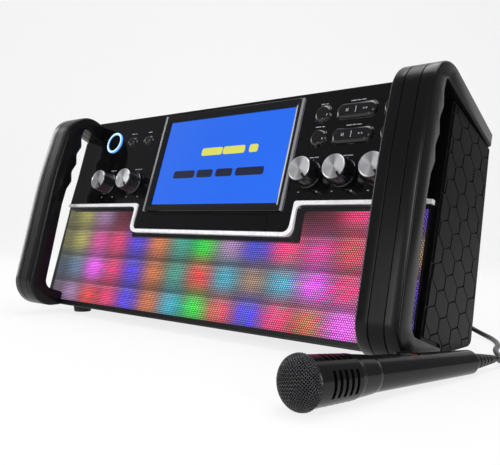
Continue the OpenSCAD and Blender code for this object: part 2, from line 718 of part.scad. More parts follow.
module rocker_outline(grow)
    polygon(rounded(rectangle(rocker_w + 2 * grow, rocker_h + 2 * grow, rocker_h / 2 + grow - 0.02, 6)));
module rocker(v) color([0.03, 0.03, 0.035]) leaning_frame() at(rocker_u, v) difference() {
    union() {
        slab(-1.6, rocker_n) rocker_outline(0);
        slab(-2.1, -1.6 + eps) rocker_outline(-0.5);
        translate([0, rocker_axis_n, -3.5]) cylinder(r = axle_r + 1.3, h = 7);
        translate([-1.8, rocker_n - eps, -3.5]) cube([3.6, rocker_axis_n - rocker_n, 7]);
    }
    translate([0, rocker_axis_n, -6]) cylinder(r = axle_r + fit_gap, h = 12);
    translate([-0.4, -3, -rocker_h / 2]) cube([0.8, 1.4, rocker_h]);
}
module skip_rocker() rocker(upper_v);
module key_rocker() rocker(lower_v);

// Disc loader, level, with its tray behind the front's apron

tray_low = -61;
tray_t = 5.5;
tray_back = 142;
tray_front = (fascia_high * tan(rake)) + 3;
disc_y = 48.5;
fascia_t = 3.5;
slot_half = 17;
module tray_fascia() color([0.02, 0.02, 0.022]) level() side_slab(-fascia_w / 2, fascia_w / 2) polygon([
    [fascia_low * tan(rake), fascia_low], [fascia_low * tan(rake) + fascia_t, fascia_low],
    [fascia_high * tan(rake) + fascia_t, fascia_high], [fascia_high * tan(rake), fascia_high],
]);

// Toothed rack and its pinion
tooth_module = 1;
pinion_teeth = 16;
pressure_angle = 20;
backlash = 0.2;
pitch_r = tooth_module * pinion_teeth / 2;
tooth_pitch = PI * tooth_module;
pinion_x = tray_w / 2 - 27.5;
pinion_y = 7.5;
groove_x = pinion_x - pitch_r - 2;
groove_front = -3;
groove_depth = 2.4;
// The groove under the tray, with the rack's teeth along its right side
function groove_points() =
    let (
        thick = tooth_pitch / 2 - backlash,
        tip = thick / 2 - 0.85 * tooth_module * tan(pressure_angle),
        root = thick / 2 + 1.2 * tooth_module * tan(pressure_angle),
        root_x = pinion_x + pitch_r + 1.2 * tooth_module,
        tip_x = pinion_x + pitch_r - 0.85 * tooth_module,
        first = ceil((groove_front - pinion_y) / tooth_pitch),
        last = floor((tray_back - 3 - pinion_y) / tooth_pitch) - 1
    )
    concat(
        [[groove_x, tray_back + 1], [groove_x, groove_front], [root_x, groove_front]],
        [
            for (k = [first:last])
                let (y = pinion_y + (k + 0.5) * tooth_pitch)
                each [[root_x, y - root], [tip_x, y - tip], [tip_x, y + tip], [root_x, y + root]]
        ],
        [[root_x, tray_back + 1]]
    );
function involute(angle) = tan(angle) * 180 / PI - angle;
function pinion_points() =
    let (
        base_r = pitch_r * cos(pressure_angle),
        half = 90 / pinion_teeth - backlash / 2 / pitch_r * 180 / PI,
        root_r = pitch_r - 1.15 * tooth_module,
        tip_r = pitch_r + 0.9 * tooth_module,
        radii = [for (i = [0:4]) base_r + (tip_r - base_r) * i / 4],
        offsets = [for (r = radii) half + involute(pressure_angle) - involute(acos(base_r / r))]
    )
    [
        for (t = [0:pinion_teeth - 1])
            let (a = 360 * t / pinion_teeth)
            each concat(
                [root_r * [cos(a - offsets[0] - 1), sin(a - offsets[0] - 1)]],
                [for (i = [0:4]) radii[i] * [cos(a - offsets[i]), sin(a - offsets[i])]],
                [for (i = [4:-1:0]) radii[i] * [cos(a + offsets[i]), sin(a + offsets[i])]],
                [root_r * [cos(a + offsets[0] + 1), sin(a + offsets[0] + 1)]]
            )
    ];

module disc_tray() color([0.12, 0.12, 0.13]) level() {
    difference() {
        translate([-tray_w / 2, tray_front, tray_low]) cube([tray_w, tray_back - tray_front, tray_t]);
        translate([0, disc_y, tray_low + tray_t - 1.8]) cylinder(d = disc_recess_d, h = 5);
        translate([0, disc_y, tray_low + tray_t - 3]) cylinder(r = slot_half + 8, h = 5);
        hub_slot();
        // finger notches beside the disc
        for (s = [-1, 1]) translate([s * disc_recess_d / 2, disc_y, tray_low + tray_t - 3]) cylinder(r = 9, h = 5);
        translate([0, 0, tray_low - 1]) linear_extrude(groove_depth + 1) polygon(groove_points());
    }
    // front rib that carries the fascia
    side_slab(-tray_w / 2 + 1, tray_w / 2 - 1) polygon([
        [fascia_low * tan(rake) + fascia_t, fascia_low], [tray_front + 2, fascia_low], [tray_front + 2, fascia_high - 1],
        [(fascia_high - 1) * tan(rake) + fascia_t, fascia_high - 1],
    ]);
}
module hub_slot() {
    translate([0, disc_y, tray_low - 1]) cylinder(r = slot_half, h = tray_t + 2);
    translate([-slot_half, disc_y, tray_low - 1]) cube([2 * slot_half, tray_back, tray_t + 2]);
}

plate_high = tray_low - 8.4;
plate_t = 2;
hub_r = 14;
loader_front = 0;
module loader_frame() color([0.3, 0.31, 0.33]) level() difference() {
    union() {
        translate([-loader_half, loader_front, plate_high - plate_t])
            cube([2 * loader_half, loader_back - loader_front, plate_t]);
        both_sides() {
            translate([tray_w / 2 + gap, loader_front, plate_high - eps])
                cube([loader_half - tray_w / 2 - gap, loader_back - loader_front, tray_low + tray_t + 4 - plate_high]);
            // ledge below the tray and lip over it
            translate([tray_w / 2 - 4, loader_front, plate_high - eps])
                cube([4 + gap + eps, loader_back - loader_front, tray_low - gap - plate_high]);
            translate([tray_w / 2 - 1.8, loader_front + 60, tray_low + tray_t + gap])
                cube([1.8 + gap + eps, loader_back - loader_front - 60, 4 - gap]);
        }
        // rear crossbar over the tray
        translate([-loader_half, loader_back - 6, tray_low + tray_t + 2]) cube([2 * loader_half, 6, 2]);
        // tray motor with the pinion's shaft, and the spindle motor
        translate([pinion_x, pinion_y, plate_high - 16]) cylinder(r = 11, h = 16);
        translate([pinion_x, pinion_y, plate_high - eps]) cylinder(r = 1.5, h = 10.2);
        translate([0, disc_y, plate_high - 9]) cylinder(r = 14, h = 9);
        for (x = [-60, 60], y = [45, 135]) translate([x, y, wall - base_drop]) cylinder(r = 3.5, h = plate_high + base_drop - wall - 1);
    }
    // the spindle's bearing
    translate([0, disc_y, plate_high - 7]) cylinder(r = 1.6, h = 20);
}
module loader_pinion() color([0.85, 0.83, 0.75]) level() translate([pinion_x, pinion_y, 0]) difference() {
    union() {
        translate([0, 0, tray_low + 0.1]) linear_extrude(1.9) polygon(pinion_points());
        translate([0, 0, plate_high + 0.3]) cylinder(r = 5, h = tray_low - plate_high);
    }
    translate([0, 0, plate_high - 1]) cylinder(r = 1.55, h = 20);
}
module spindle_hub() color([0.8, 0.8, 0.8]) level() translate([0, disc_y, 0]) {
    translate([0, 0, plate_high - 6]) cylinder(r = 1.55, h = 10);
    translate([0, 0, plate_high + 3]) cylinder(r = hub_r, h = tray_low + tray_t - 1.8 - plate_high - 3);
    translate([0, 0, tray_low + tray_t - 1.8 - eps]) cylinder(r1 = 7.4, r2 = 6, h = 2.2);
}

// Boards and sockets inside

module main_board() color([0.1, 0.35, 0.2]) leaning_frame() {
    half = [screen_w / 2 - 15, screen_h / 2 - 10];
    slab(14, 14 + board_t) square(2 * half, center = true);
    for (x = [-1, 1], y = [-1, 1]) at(x * (half.x - 6), y * (half.y - 6)) bar(2.5, 8, 14 + eps);
    slab(14 + board_t - eps, 18) union() {
        square([24, 24], center = true);
        translate([-46, -10]) square([14, 20]);
        translate([32, -12]) square([16, 24]);
    }
}
supply_y = 86;
module power_supply() color([0.55, 0.45, 0.2]) level() translate([-62, supply_y, wall - base_drop]) {
    for (x = [-34, 34], y = [-22, 22]) translate([x, y, 0]) cylinder(r = 3, h = 4);
    translate([-40, -27, 4 - eps]) cube([80, 54, board_t]);
    translate([-26, -18, 4 + board_t - 2 * eps]) cube([36, 34, 30]);
    for (x = [20, 31]) translate([x, 6, 4 + board_t - 2 * eps]) cylinder(r = 4.5, h = 22);
}
module power_inlet() color([0.05, 0.05, 0.05]) rear_frame() at(inlet_u, inlet_v) difference() {
    union() {
        slab(-18, 0) polygon(rounded(rectangle(24, 15, 3)));
        slab(-wall - 2, -wall - fit_gap) square([36, 20], center = true);
    }
    slab(-12, 1) polygon(rounded(rectangle(18.5, 9, 4)));
    for (s = [-1, 1]) at(s * 4.3, 0) bar(1.3, -13.5, -11);
}
jack_bore_r = 3.2;
module rear_sockets() color([0.75, 0.75, 0.77]) rear_frame() difference() {
    union() {
        for (i = [0, 1]) at(socket_u + i * socket_pitch, socket_v) {
            bar(socket_r, -wall - 2, 2);
            bar(socket_r + 2, 0, 1.8);
        }
        translate([socket_u - 10, -wall - 28, socket_v - 10]) cube([socket_pitch + 20, 28 - fit_gap, 20]);
    }
    for (i = [0, 1]) at(socket_u + i * socket_pitch, socket_v) bar(jack_bore_r, -wall - 34, 3);
}
module rear_screws() color([0.2, 0.2, 0.2]) rear_frame() for (p = rear_screws_at) at(p.x, p.y) {
    bar(3, -1.2, 0.6);
    bar(screw_r - 0.05, -housing_depth - 10, -1.2 + eps);
}

// Microphone, on the floor in front at the right, its lead wound behind the machine

mic_head = [209.5, -156.5];
mic_tail = [240.5, -15];
mic_angle = atan2(mic_tail.y - mic_head.y, mic_tail.x - mic_head.x) - 90;
head_r = mic_head_d / 2;
waist_r = 10.5;
tail_r = 7.8;
tail_y = mic_len - head_r;
mic_slope = asin((head_r - tail_r - 0.05) / (tail_y - 2));
// Frame of the microphone: +Y runs from the head's centre to the tail
module mic_frame()
    on_floor() translate([mic_head.x, mic_head.y, head_r]) rotate([0, 0, mic_angle]) rotate([-mic_slope, 0, 0]) children();
// A turned piece of the microphone, from [radius, distance from the head's centre]
module turned(points) rotate([-90, 0, 0]) rotate_extrude() polygon(points);
collar_y = -2;
vent_y = 6;
waist_y = 48;
vent_pitch_y = 4.4;
vent_gap = 2.2;
body_y = vent_y + 5 * vent_pitch_y + 2.6;
// Radius of the collar behind its front edge, and of the body
function collar_r(y) = head_r - 0.3 - 0.045 * (y - collar_y);
function body_r(y) = waist_r - (waist_r - tail_r) * (y - waist_y) / (tail_y - 2 - waist_y);
module mic_head() color([0.12, 0.12, 0.13]) mic_frame() {
    steps = 12;
    front = 0.86 * head_r;
    // a basket with a flattened front
    turned(concat(
        [[0, -front]],
        [for (i = [1:steps]) [
            head_r * pow(sin(90 * i / steps), 0.8), collar_y - (front + collar_y) * pow(max(0, cos(90 * i / steps)), 0.8),
        ]],
        [[0, collar_y]]
    ));
}
module mic_collar() color([0.03, 0.03, 0.03]) mic_frame() {
    turned([
        [0, collar_y + fit_gap], [collar_r(collar_y) - 0.5, collar_y + fit_gap], [collar_r(collar_y), collar_y + 1],
        [collar_r(vent_y), vent_y], [0, vent_y],
    ]);
    difference() {
        turned([[0, vent_y - eps], [collar_r(vent_y), vent_y - eps], [collar_r(body_y), body_y], [0, body_y]]);
        // five slots round it, broken by four ribs
        for (i = [0:4]) difference() {
            y = vent_y + 1.6 + vent_pitch_y * i;
            turned([[head_r - 4, y], [head_r + 4, y], [head_r + 4, y + vent_gap], [head_r - 4, y + vent_gap]]);
            for (a = [45, 135]) rotate([0, a, 0]) translate([-head_r - 5, y - 1, -3]) cube([2 * head_r + 10, vent_gap + 2, 6]);
        }
    }
}
switch_y = 68;
switch_len = 22;
module mic_body() color([0.03, 0.03, 0.03]) mic_frame() difference() {
    turned([
        [0, body_y], [collar_r(body_y), body_y], [collar_r(body_y) - 0.6, body_y + 3], [waist_r + 0.5, waist_y - 2],
        [waist_r, waist_y], [tail_r, tail_y - 2], [tail_r - 1, tail_y], [0, tail_y],
    ]);
    // oval recess of the switch
    translate([0, switch_y + switch_len / 2, body_r(switch_y) - 1.8]) linear_extrude(6)
        polygon(rounded(rectangle(8, switch_len, 3.9, 6)));
    translate([0, tail_y - 10, 0]) rotate([-90, 0, 0]) cylinder(r = 3.4, h = 12);
}
module mic_switch() color([0.5, 0.5, 0.5]) mic_frame() translate([0, switch_y + 8, body_r(switch_y) - 1.8]) difference() {
    linear_extrude(2.3) polygon(rounded(rectangle(6.2, 10, 2.6, 4)));
    for (i = [-1:1]) translate([-4, 2.2 * i - 0.4, 1.9]) cube([8, 0.8, 2]);
}
boot_y = tail_y + 26;
module mic_boot() color([0.03, 0.03, 0.03]) mic_frame() difference() {
    turned([
        [0, tail_y - 9.9], [3.35, tail_y - 9.9], [3.35, tail_y], [5.4, tail_y], [4.8, tail_y + 8],
        [lead_d / 2 + 0.7, boot_y], [0, boot_y],
    ]);
    for (i = [0:3]) translate([0, tail_y + 5 + 4.5 * i, 0]) rotate([-90, 0, 0]) difference() {
        cylinder(r = 6, h = 1.2);
        cylinder(r = lead_d / 2 + 0.8, h = 1.2);
    }
}

// The lead's coil: a spiral in and out again in four layers, close behind the machine
coil_centre = [160, 95];
lead_r = lead_d / 2;
coil_pitch = lead_d + 0.75;
coil_turns = 12 - 20 / 360;
coil_layers = 4;
layer_turns = coil_turns / coil_layers;
coil_outer = 30.6;
coil_start = 90;
lead_rings = 24;
function wave(t) = abs((t + 1) % 2 - 1);
function layer_height(turns) =
    let (k = round(turns / layer_turns), edge = turns - k * layer_turns)
    k > 0 && k < coil_layers && abs(edge) < 0.25 ? k - 0.5 + edge / 0.5 : floor(turns / layer_turns - 1e-6) < 0 ? 0
        : min(coil_layers - 1, floor(turns / layer_turns));
function coil_point(turns) =
    let (a = coil_start - 360 * turns, r = coil_outer - wave(turns / layer_turns) * layer_turns * coil_pitch)
    [coil_centre.x + r * cos(a), coil_centre.y + r * sin(a), lead_r + 0.15 + layer_height(turns) * coil_pitch];

function spline(p, i, t) =
    let (a = p[max(i - 1, 0)], b = p[i], c = p[i + 1], d = p[min(i + 2, len(p) - 1)])
    0.5 * (2 * b + (c - a) * t + (2 * a - 5 * b + 4 * c - d) * t * t + (3 * b - a - 3 * c + d) * t * t * t);
function smooth(p, steps) =
    concat([for (i = [0:len(p) - 2], s = [0:steps - 1]) spline(p, i, s / steps)], [p[len(p) - 1]]);

// A tube swept along points, its rings square to the path
function tangent(p, i) = unit(p[min(i + 1, len(p) - 1)] - p[max(i - 1, 0)]);
function side_of(t) = unit(cross(t, abs(t.z) > 0.95 ? [0, 1, 0] : [0, 0, 1]));
module tube(path, r, sides) {
    last = len(path) - 1;
    rings = [
        for (i = [0:last])
            let (t = tangent(path, i), u = side_of(t), w = cross(u, t))
            for (s = [0:sides - 1]) path[i] + r * (u * cos(360 * (s + 0.5) / sides) + w * sin(360 * (s + 0.5) / sides))
    ];
    walls = [
        for (i = [0:last - 1], s = [0:sides - 1])
            let (a = i * sides + s, b = i * sides + (s + 1) % sides)
            each [[a, a + sides, b + sides], [a, b + sides, b]]
    ];
    on_floor() polyhedron(rings, concat([[for (s = [0:sides - 1]) s]], [[for (s = [sides - 1:-1:0]) last * sides + s]], walls));
}
coil_path = [for (i = [0:round(coil_turns * lead_rings)]) coil_point(coil_turns * i / round(coil_turns * lead_rings))];
coil_ends = [
    coil_path[0] - lead_d * unit(coil_path[1] - coil_path[0]),
    coil_path[len(coil_path) - 1] + lead_d * unit(coil_path[len(coil_path) - 1] - coil_path[len(coil_path) - 2]),
];
function least_gap(p, skip) = min([
    for (i = [0:2:len(p) - 1 - skip], j = [i + skip:len(p) - 1]) norm(p[i] - p[j])
]) - lead_d;
module lead_coil() {
    echo(least_gap_of_the_coil = least_gap(coil_path, 18));
    color([0.04, 0.04, 0.04]) tube(concat([coil_ends[0]], coil_path, [coil_ends[1]]), lead_r, 6);
}

// Route of the lead from the strain relief round the machine to the coil
boot_end = [mic_head.x, mic_head.y, head_r] + [
    -boot_y * sin(mic_angle) * cos(mic_slope), boot_y * cos(mic_angle) * cos(mic_slope), -boot_y * sin(mic_slope),
];
boot_way = [-sin(mic_angle) * cos(mic_slope), cos(mic_angle) * cos(mic_slope), -sin(mic_slope)];
mic_lead_route = concat(
    [boot_end + fit_gap * boot_way, boot_end + 2.5 * boot_way, boot_end + 5 * boot_way],
    [
        [246, 22, 3.6], [242, 36, 2.2], [234, 50, 2.2], [227, 66, 2.2], [223, 82, 2.2], [216, 98, 2.2],
        [207, 112, 2.3], [196, 122, 3.4], [184, 128, 6.5], [173, 130, 11],
    ],
    [coil_ends[1] + 5 * unit(coil_ends[1] - coil_path[len(coil_path) - 1]), coil_ends[1]]
);
module mic_lead() color([0.04, 0.04, 0.04]) tube(smooth(mic_lead_route, 4), lead_r, 8);

plug_n = 44;
function rear_point(u, n, v) =
    let (
        n2 = rear_n(0) + n * cos(rear_lean) - v * sin(rear_lean),
        v2 = v * cos(rear_lean) + n * sin(rear_lean)
    )
    [u, n2 * cos(rake) + v2 * sin(rake), screen_z + v2 * cos(rake) - n2 * sin(rake)];
plug_end = rear_point(socket_u, plug_n, socket_v);
plug_way = unit(plug_end - rear_point(socket_u, plug_n - 10, socket_v));
plug_lead_route = concat(
    [plug_end + fit_gap * plug_way, plug_end + 2.5 * plug_way, plug_end + 5 * plug_way],
    [
        [128, 115, 48], [128.5, 122, 34], [130, 127, 20], [133, 130, 9], [139, 131, 3.2],
    ],
    [coil_ends[0] + 5 * unit(coil_ends[0] - coil_path[0]), coil_ends[0]]
);
module plug_lead() color([0.04, 0.04, 0.04]) tube(smooth(plug_lead_route, 4), lead_r, 8);
module mic_plug() color([0.06, 0.06, 0.06]) rear_frame() at(socket_u, socket_v) rotate([-90, 0, 0]) rotate_extrude() polygon([
    [0, -27], [2.2, -25], [1.8, -21.5], [jack_bore_r - 0.05, -20.5], [jack_bore_r - 0.05, 2.05], [5.6, 2.05],
    [6, 4], [5.6, 28], [4.2, 29], [lead_r + 0.6, plug_n], [0, plug_n],
]);

cabinet();
rear_housing();
left_side_cover();
right_side_cover();
left_handle_inner();
left_handle_band();
left_handle_outer();
right_handle_inner();
right_handle_band();
right_handle_outer();
feet();
control_panel();
chrome_trim();
screen_bezel();
screen_window();
lcd_panel();
left_screen_strip();
right_screen_strip();
mesh_grille();
led_board();
left_speaker();
right_speaker();
left_cone();
right_cone();
left_control_board();
right_control_board();
echo_knob();
balance_knob();
treble_knob();
bass_knob();
volume_knob();
power_ring();
power_button();
input_button();
lamp_button();
play_button();
record_button();
eject_button();
stop_button();
skip_rocker();
key_rocker();
tray_fascia();
disc_tray();
loader_frame();
loader_pinion();
spindle_hub();
main_board();
power_supply();
power_inlet();
rear_sockets();
rear_screws();
mic_head();
mic_collar();
mic_body();
mic_switch();
mic_boot();
mic_lead();
lead_coil();
plug_lead();
mic_plug();
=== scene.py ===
import math
import random

import bmesh
import bpy
from mathutils import Matrix, Vector


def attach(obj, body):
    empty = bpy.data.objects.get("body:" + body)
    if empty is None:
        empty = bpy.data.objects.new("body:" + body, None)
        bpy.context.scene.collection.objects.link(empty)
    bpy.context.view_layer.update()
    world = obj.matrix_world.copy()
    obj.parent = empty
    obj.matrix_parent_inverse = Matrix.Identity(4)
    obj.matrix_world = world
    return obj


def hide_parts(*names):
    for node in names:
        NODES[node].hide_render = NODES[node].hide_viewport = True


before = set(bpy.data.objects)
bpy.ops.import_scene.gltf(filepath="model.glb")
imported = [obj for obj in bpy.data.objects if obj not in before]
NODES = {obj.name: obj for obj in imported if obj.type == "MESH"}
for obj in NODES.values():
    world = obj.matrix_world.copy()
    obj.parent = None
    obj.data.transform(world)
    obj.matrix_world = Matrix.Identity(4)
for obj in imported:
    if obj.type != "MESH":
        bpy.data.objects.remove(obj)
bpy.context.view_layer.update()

# Sizes of the CAD, in millimetres: u to the right, n into the depth and v up along the leaning front
MIDDLE = Vector((14.44, -8.92, 0))
SCREEN_Z, BASE_DROP, BASE_N = 153, 145, 6.5
RAKE, GRILLE_LEAN = math.radians(18), math.radians(3.4)
TOP_DEPTH, TOP_V, TOP_SLOPE = 66, 53, math.radians(13)
BODY_HALF = 211.5
TRIM_V = -43.3
SCREEN_W, SCREEN_H = 154, 86
KNOB_V = -20.3
KNOBS = {
    "echo_knob": -150, "balance_knob": -110, "treble_knob": 105, "bass_knob": 136.5, "volume_knob": 168,
}
POWER = (-161, 27.7)
SMALL = {"input_button": (-132, 27.3), "lamp_button": (-107, 27.3)}
ROUND = {
    "play_button": (105, 33.5), "record_button": (105, 12.3),
    "eject_button": (168, 33.5), "stop_button": (168, 12.3),
}
ROCKERS = {"skip_rocker": 33.5, "key_rocker": 12.3}
ROCKER_U = 136.5

# Frames: from (right, depth, up) in millimetres to the shared frame in metres
MM = Matrix.Scale(0.001, 4)
LEVEL = MM @ Matrix.Translation(Vector((0, 0, SCREEN_Z)) - MIDDLE)
FLOOR = MM @ Matrix.Translation(-MIDDLE)
LEAN = LEVEL @ Matrix.Rotation(-RAKE, 4, "X")
GRILLE = LEAN @ Matrix.Translation((0, 0, TRIM_V)) @ Matrix.Rotation(GRILLE_LEAN, 4, "X")

REAR_LEAN = math.radians(5.5)
REAR_N = TOP_DEPTH + (TOP_V - TOP_DEPTH * math.tan(TOP_SLOPE)) * math.tan(REAR_LEAN)
REAR = LEAN @ Matrix.Translation((0, REAR_N, 0)) @ Matrix.Rotation(REAR_LEAN, 4, "X")

# Microphone: head, waist and tail radii, and the frame whose +Y runs from the head's centre to the tail
MIC_R, WAIST_R, TAIL_R = 14.5, 10.5, 7.8
WAIST_Y, TAIL_EDGE, COLLAR_Y, BOOT_Y = 48, 141.5, -2, 169.5
MIC_HEAD, MIC_TAIL = Vector((209.5, -156.5, MIC_R)), Vector((240.5, -15, 0))
MIC_TURN = math.atan2(MIC_TAIL.y - MIC_HEAD.y, MIC_TAIL.x - MIC_HEAD.x) - math.pi / 2
MIC_SLOPE = math.asin((MIC_R - TAIL_R - 0.05) / TAIL_EDGE)
MIC = FLOOR @ Matrix.Translation(MIC_HEAD) @ Matrix.Rotation(MIC_TURN, 4, "Z")
MIC = MIC @ Matrix.Rotation(-MIC_SLOPE, 4, "X")


def body_r(y):
    return WAIST_R - (WAIST_R - TAIL_R) * (y - WAIST_Y) / (TAIL_EDGE - WAIST_Y)


def unit(v):
    return v / v.length


# Mesh helpers

def linked(name, data):
    obj = bpy.data.objects.new(name, data)
    bpy.context.scene.collection.objects.link(obj)
    return obj


def sharp(obj, angle=32):
    split = obj.modifiers.new("edges", "EDGE_SPLIT")
    split.split_angle = math.radians(angle)


def thing(name, verts, faces, place, body, material, smooth=True, replaces=()):
    mesh = bpy.data.meshes.new(name)
    mesh.from_pydata([tuple(v) for v in verts], [], faces)
    bm = bmesh.new()
    bm.from_mesh(mesh)
    bmesh.ops.recalc_face_normals(bm, faces=bm.faces)
    bm.to_mesh(mesh)
    bm.free()
    mesh.transform(place)
    obj = linked(name, mesh)
    for m in material if isinstance(material, list) else [material]:
        mesh.materials.append(m)
    if smooth:
        mesh.shade_smooth()
        sharp(obj)
    if body:
        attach(obj, body)
    if replaces:
        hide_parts(*replaces)
    return obj


# Faces between loops of k points each, from one loop to the next, or round to the first loop again
def bands(k, loops, closed=False):
    faces = []
    for j in range(loops if closed else loops - 1):
        low, high = j * k, (j + 1) % loops * k
        faces += [(low + i, low + (i + 1) % k, high + (i + 1) % k, high + i) for i in range(k)]
    return faces


def caps(k, loops):
    return [tuple(range(k)), tuple(range(k * loops - 1, k * loops - k - 1, -1))]


# Faces of a ring of box section, from two loops of k points in front and two behind
def sleeve(k):
    faces = []
    for i in range(k):
        j = (i + 1) % k
        faces += [(i, j, k + j, k + i), (2 * k + i, 3 * k + i, 3 * k + j, 2 * k + j)]
        faces += [(k + i, k + j, 3 * k + j, 3 * k + i), (i, 2 * k + i, 2 * k + j, j)]
    return faces


# A turned piece: profile of (radius, distance along the axis), about local Y
def turned(name, profile, place, body, material, sides=72, replaces=(), faces_of=None):
    verts, faces, rows = [], [], []
    for r, y in profile:
        if r < 1e-6:
            rows.append([len(verts)])
            verts.append((0, y, 0))
        else:
            rows.append(list(range(len(verts), len(verts) + sides)))
            turns = [2 * math.pi * k / sides for k in range(sides)]
            verts += [(r * math.cos(a), y, r * math.sin(a)) for a in turns]
    for a, b in zip(rows, rows[1:]):
        for k in range(sides):
            k2 = (k + 1) % sides
            if len(a) == 1:
                faces.append((a[0], b[k], b[k2]))
            elif len(b) == 1:
                faces.append((a[k], b[0], a[k2]))
            else:
                faces.append((a[k], b[k], b[k2], a[k2]))
    obj = thing(name, verts, faces, place, body, material, replaces=replaces)
    if faces_of:
        inverse = place.inverted()
        for p in obj.data.polygons:
            p.material_index = faces_of(inverse @ p.center)
    return obj


# Front-view outlines of equal length at several depths
def depths(layers):
    return [(x, n, y) for n, outline in layers for x, y in outline]


def stack(name, layers, place, body, material, smooth=True, replaces=()):
    k = len(layers[0][1])
    faces = caps(k, len(layers)) + bands(k, len(layers))
    return thing(name, depths(layers), faces, place, body, material, smooth, replaces)


def plate(name, outline, n0, n1, place, body, material, replaces=()):
    return stack(name, [(n0, outline), (n1, outline)], place, body, material, False, replaces)


def rounded(w, h, r, steps=8, x=0.0, y=0.0):
    out, right, top = [], w / 2 - r, h / 2 - r
    for cx, cy, start in ((right, top, 0), (-right, top, 90), (-right, -top, 180), (right, -top, 270)):
        for i in range(steps + 1):
            a = math.radians(start + 90 * i / steps)
            out.append((x + cx + r * math.cos(a), y + cy + r * math.sin(a)))
    return out


# Materials

def nodes_of(mat):
    return mat.node_tree.nodes, mat.node_tree.links


def plain(name, colour, rough=0.5, metal=0.0, spec=0.5):
    mat = bpy.data.materials.new(name)
    mat.use_nodes = True
    shader = mat.node_tree.nodes["Principled BSDF"]
    shader.inputs["Base Color"].default_value = (*colour, 1)
    shader.inputs["Roughness"].default_value = rough
    shader.inputs["Metallic"].default_value = metal
    shader.inputs["Specular IOR Level"].default_value = spec
    return mat


def add(nodes, kind, **values):
    node = nodes.new(kind)
    for key, value in values.items():
        if key in node.inputs:
            node.inputs[key].default_value = value
        else:
            setattr(node, key, value)
    return node


# Moulded grain: fine bumps, a little variation of colour and roughness
def grained(name, colour, rough, grain=1.2, depth=0.05, spread=0.12, **rest):
    mat = plain(name, colour, rough, **rest)
    nodes, links = nodes_of(mat)
    shader = nodes["Principled BSDF"]
    place = add(nodes, "ShaderNodeTexCoord")
    fine = add(nodes, "ShaderNodeTexNoise", Scale=1000 / grain, Detail=3.0, Roughness=0.6)
    wide = add(nodes, "ShaderNodeTexNoise", Scale=14.0, Detail=4.0)
    for tex in (fine, wide):
        links.new(place.outputs["Object"], tex.inputs["Vector"])
    bump = add(nodes, "ShaderNodeBump", Strength=depth, Distance=0.0004)
    links.new(fine.outputs["Fac"], bump.inputs["Height"])
    links.new(bump.outputs["Normal"], shader.inputs["Normal"])
    span = add(nodes, "ShaderNodeMapRange")
    span.inputs["To Min"].default_value = max(0.02, rough - spread / 2)
    span.inputs["To Max"].default_value = min(1.0, rough + spread / 2)
    links.new(wide.outputs["Fac"], span.inputs["Value"])
    links.new(span.outputs["Result"], shader.inputs["Roughness"])
    ramp = add(nodes, "ShaderNodeValToRGB")
    ramp.color_ramp.elements[0].position, ramp.color_ramp.elements[1].position = 0.3, 0.75
    ramp.color_ramp.elements[0].color = (*[c * 0.85 for c in colour], 1)
    ramp.color_ramp.elements[1].color = (*[min(1, c * 1.15) for c in colour], 1)
    links.new(fine.outputs["Fac"], ramp.inputs["Fac"])
    links.new(ramp.outputs["Color"], shader.inputs["Base Color"])
    return mat


def glowing(name, colour, strength):
    mat = plain(name, (0.0, 0.0, 0.0), 0.3)
    shader = mat.node_tree.nodes["Principled BSDF"]
    shader.inputs["Emission Color"].default_value = (*colour, 1)
    shader.inputs["Emission Strength"].default_value = strength
    return mat


# Spun metal: fine rings about an axis, with two bright fans painted into the base colour as a painted
# highlight, lighter and darker by direction from the centre
def spun(name, colour, rough, centre, axis, side, rings=5200, depth=0.3):
    mat = plain(name, colour, rough, metal=0.8)
    nodes, links = nodes_of(mat)
    shader = nodes["Principled BSDF"]
    place = add(nodes, "ShaderNodeTexCoord")
    shift = add(nodes, "ShaderNodeVectorMath", operation="SUBTRACT")
    shift.inputs[1].default_value = centre
    links.new(place.outputs["Object"], shift.inputs[0])
    along = add(nodes, "ShaderNodeVectorMath", operation="CROSS_PRODUCT")
    along.inputs[1].default_value = axis
    links.new(shift.outputs[0], along.inputs[0])
    length = add(nodes, "ShaderNodeVectorMath", operation="LENGTH")
    links.new(along.outputs[0], length.inputs[0])
    wave = add(nodes, "ShaderNodeMath", operation="MULTIPLY")
    wave.inputs[1].default_value = rings
    links.new(length.outputs["Value"], wave.inputs[0])
    noise = add(nodes, "ShaderNodeTexNoise", Scale=1.0, Detail=3.0)
    noise.noise_dimensions = "1D"
    links.new(wave.outputs[0], noise.inputs["W"])
    bump = add(nodes, "ShaderNodeBump", Strength=depth, Distance=0.00015)
    links.new(noise.outputs["Fac"], bump.inputs["Height"])
    links.new(bump.outputs["Normal"], shader.inputs["Normal"])
    # Painted highlight: the base colour, lighter and darker by the direction from the face's centre towards
    # side, draws the two bright fans of reflected light
    unit_out = add(nodes, "ShaderNodeVectorMath", operation="NORMALIZE")
    links.new(shift.outputs[0], unit_out.inputs[0])
    turn = add(nodes, "ShaderNodeVectorMath", operation="DOT_PRODUCT")
    turn.inputs[1].default_value = side
    links.new(unit_out.outputs[0], turn.inputs[0])
    ramp = add(nodes, "ShaderNodeValToRGB")
    span = add(nodes, "ShaderNodeMapRange")
    span.inputs["From Min"].default_value = -1.0
    links.new(turn.outputs["Value"], span.inputs["Value"])
    links.new(span.outputs["Result"], ramp.inputs["Fac"])
    stops = ((0.0, 0.62), (0.2, 0.8), (0.42, 0.4), (0.62, 0.34), (0.86, 0.95), (1.0, 1.0))
    painted_fan_ramp = ramp.color_ramp
    while len(painted_fan_ramp.elements) < len(stops):
        painted_fan_ramp.elements.new(0.5)
    for element, (at, value) in zip(painted_fan_ramp.elements, stops):
        element.position, element.color = at, (*[value * c for c in colour], 1)
    links.new(ramp.outputs["Color"], shader.inputs["Base Color"])
    return mat


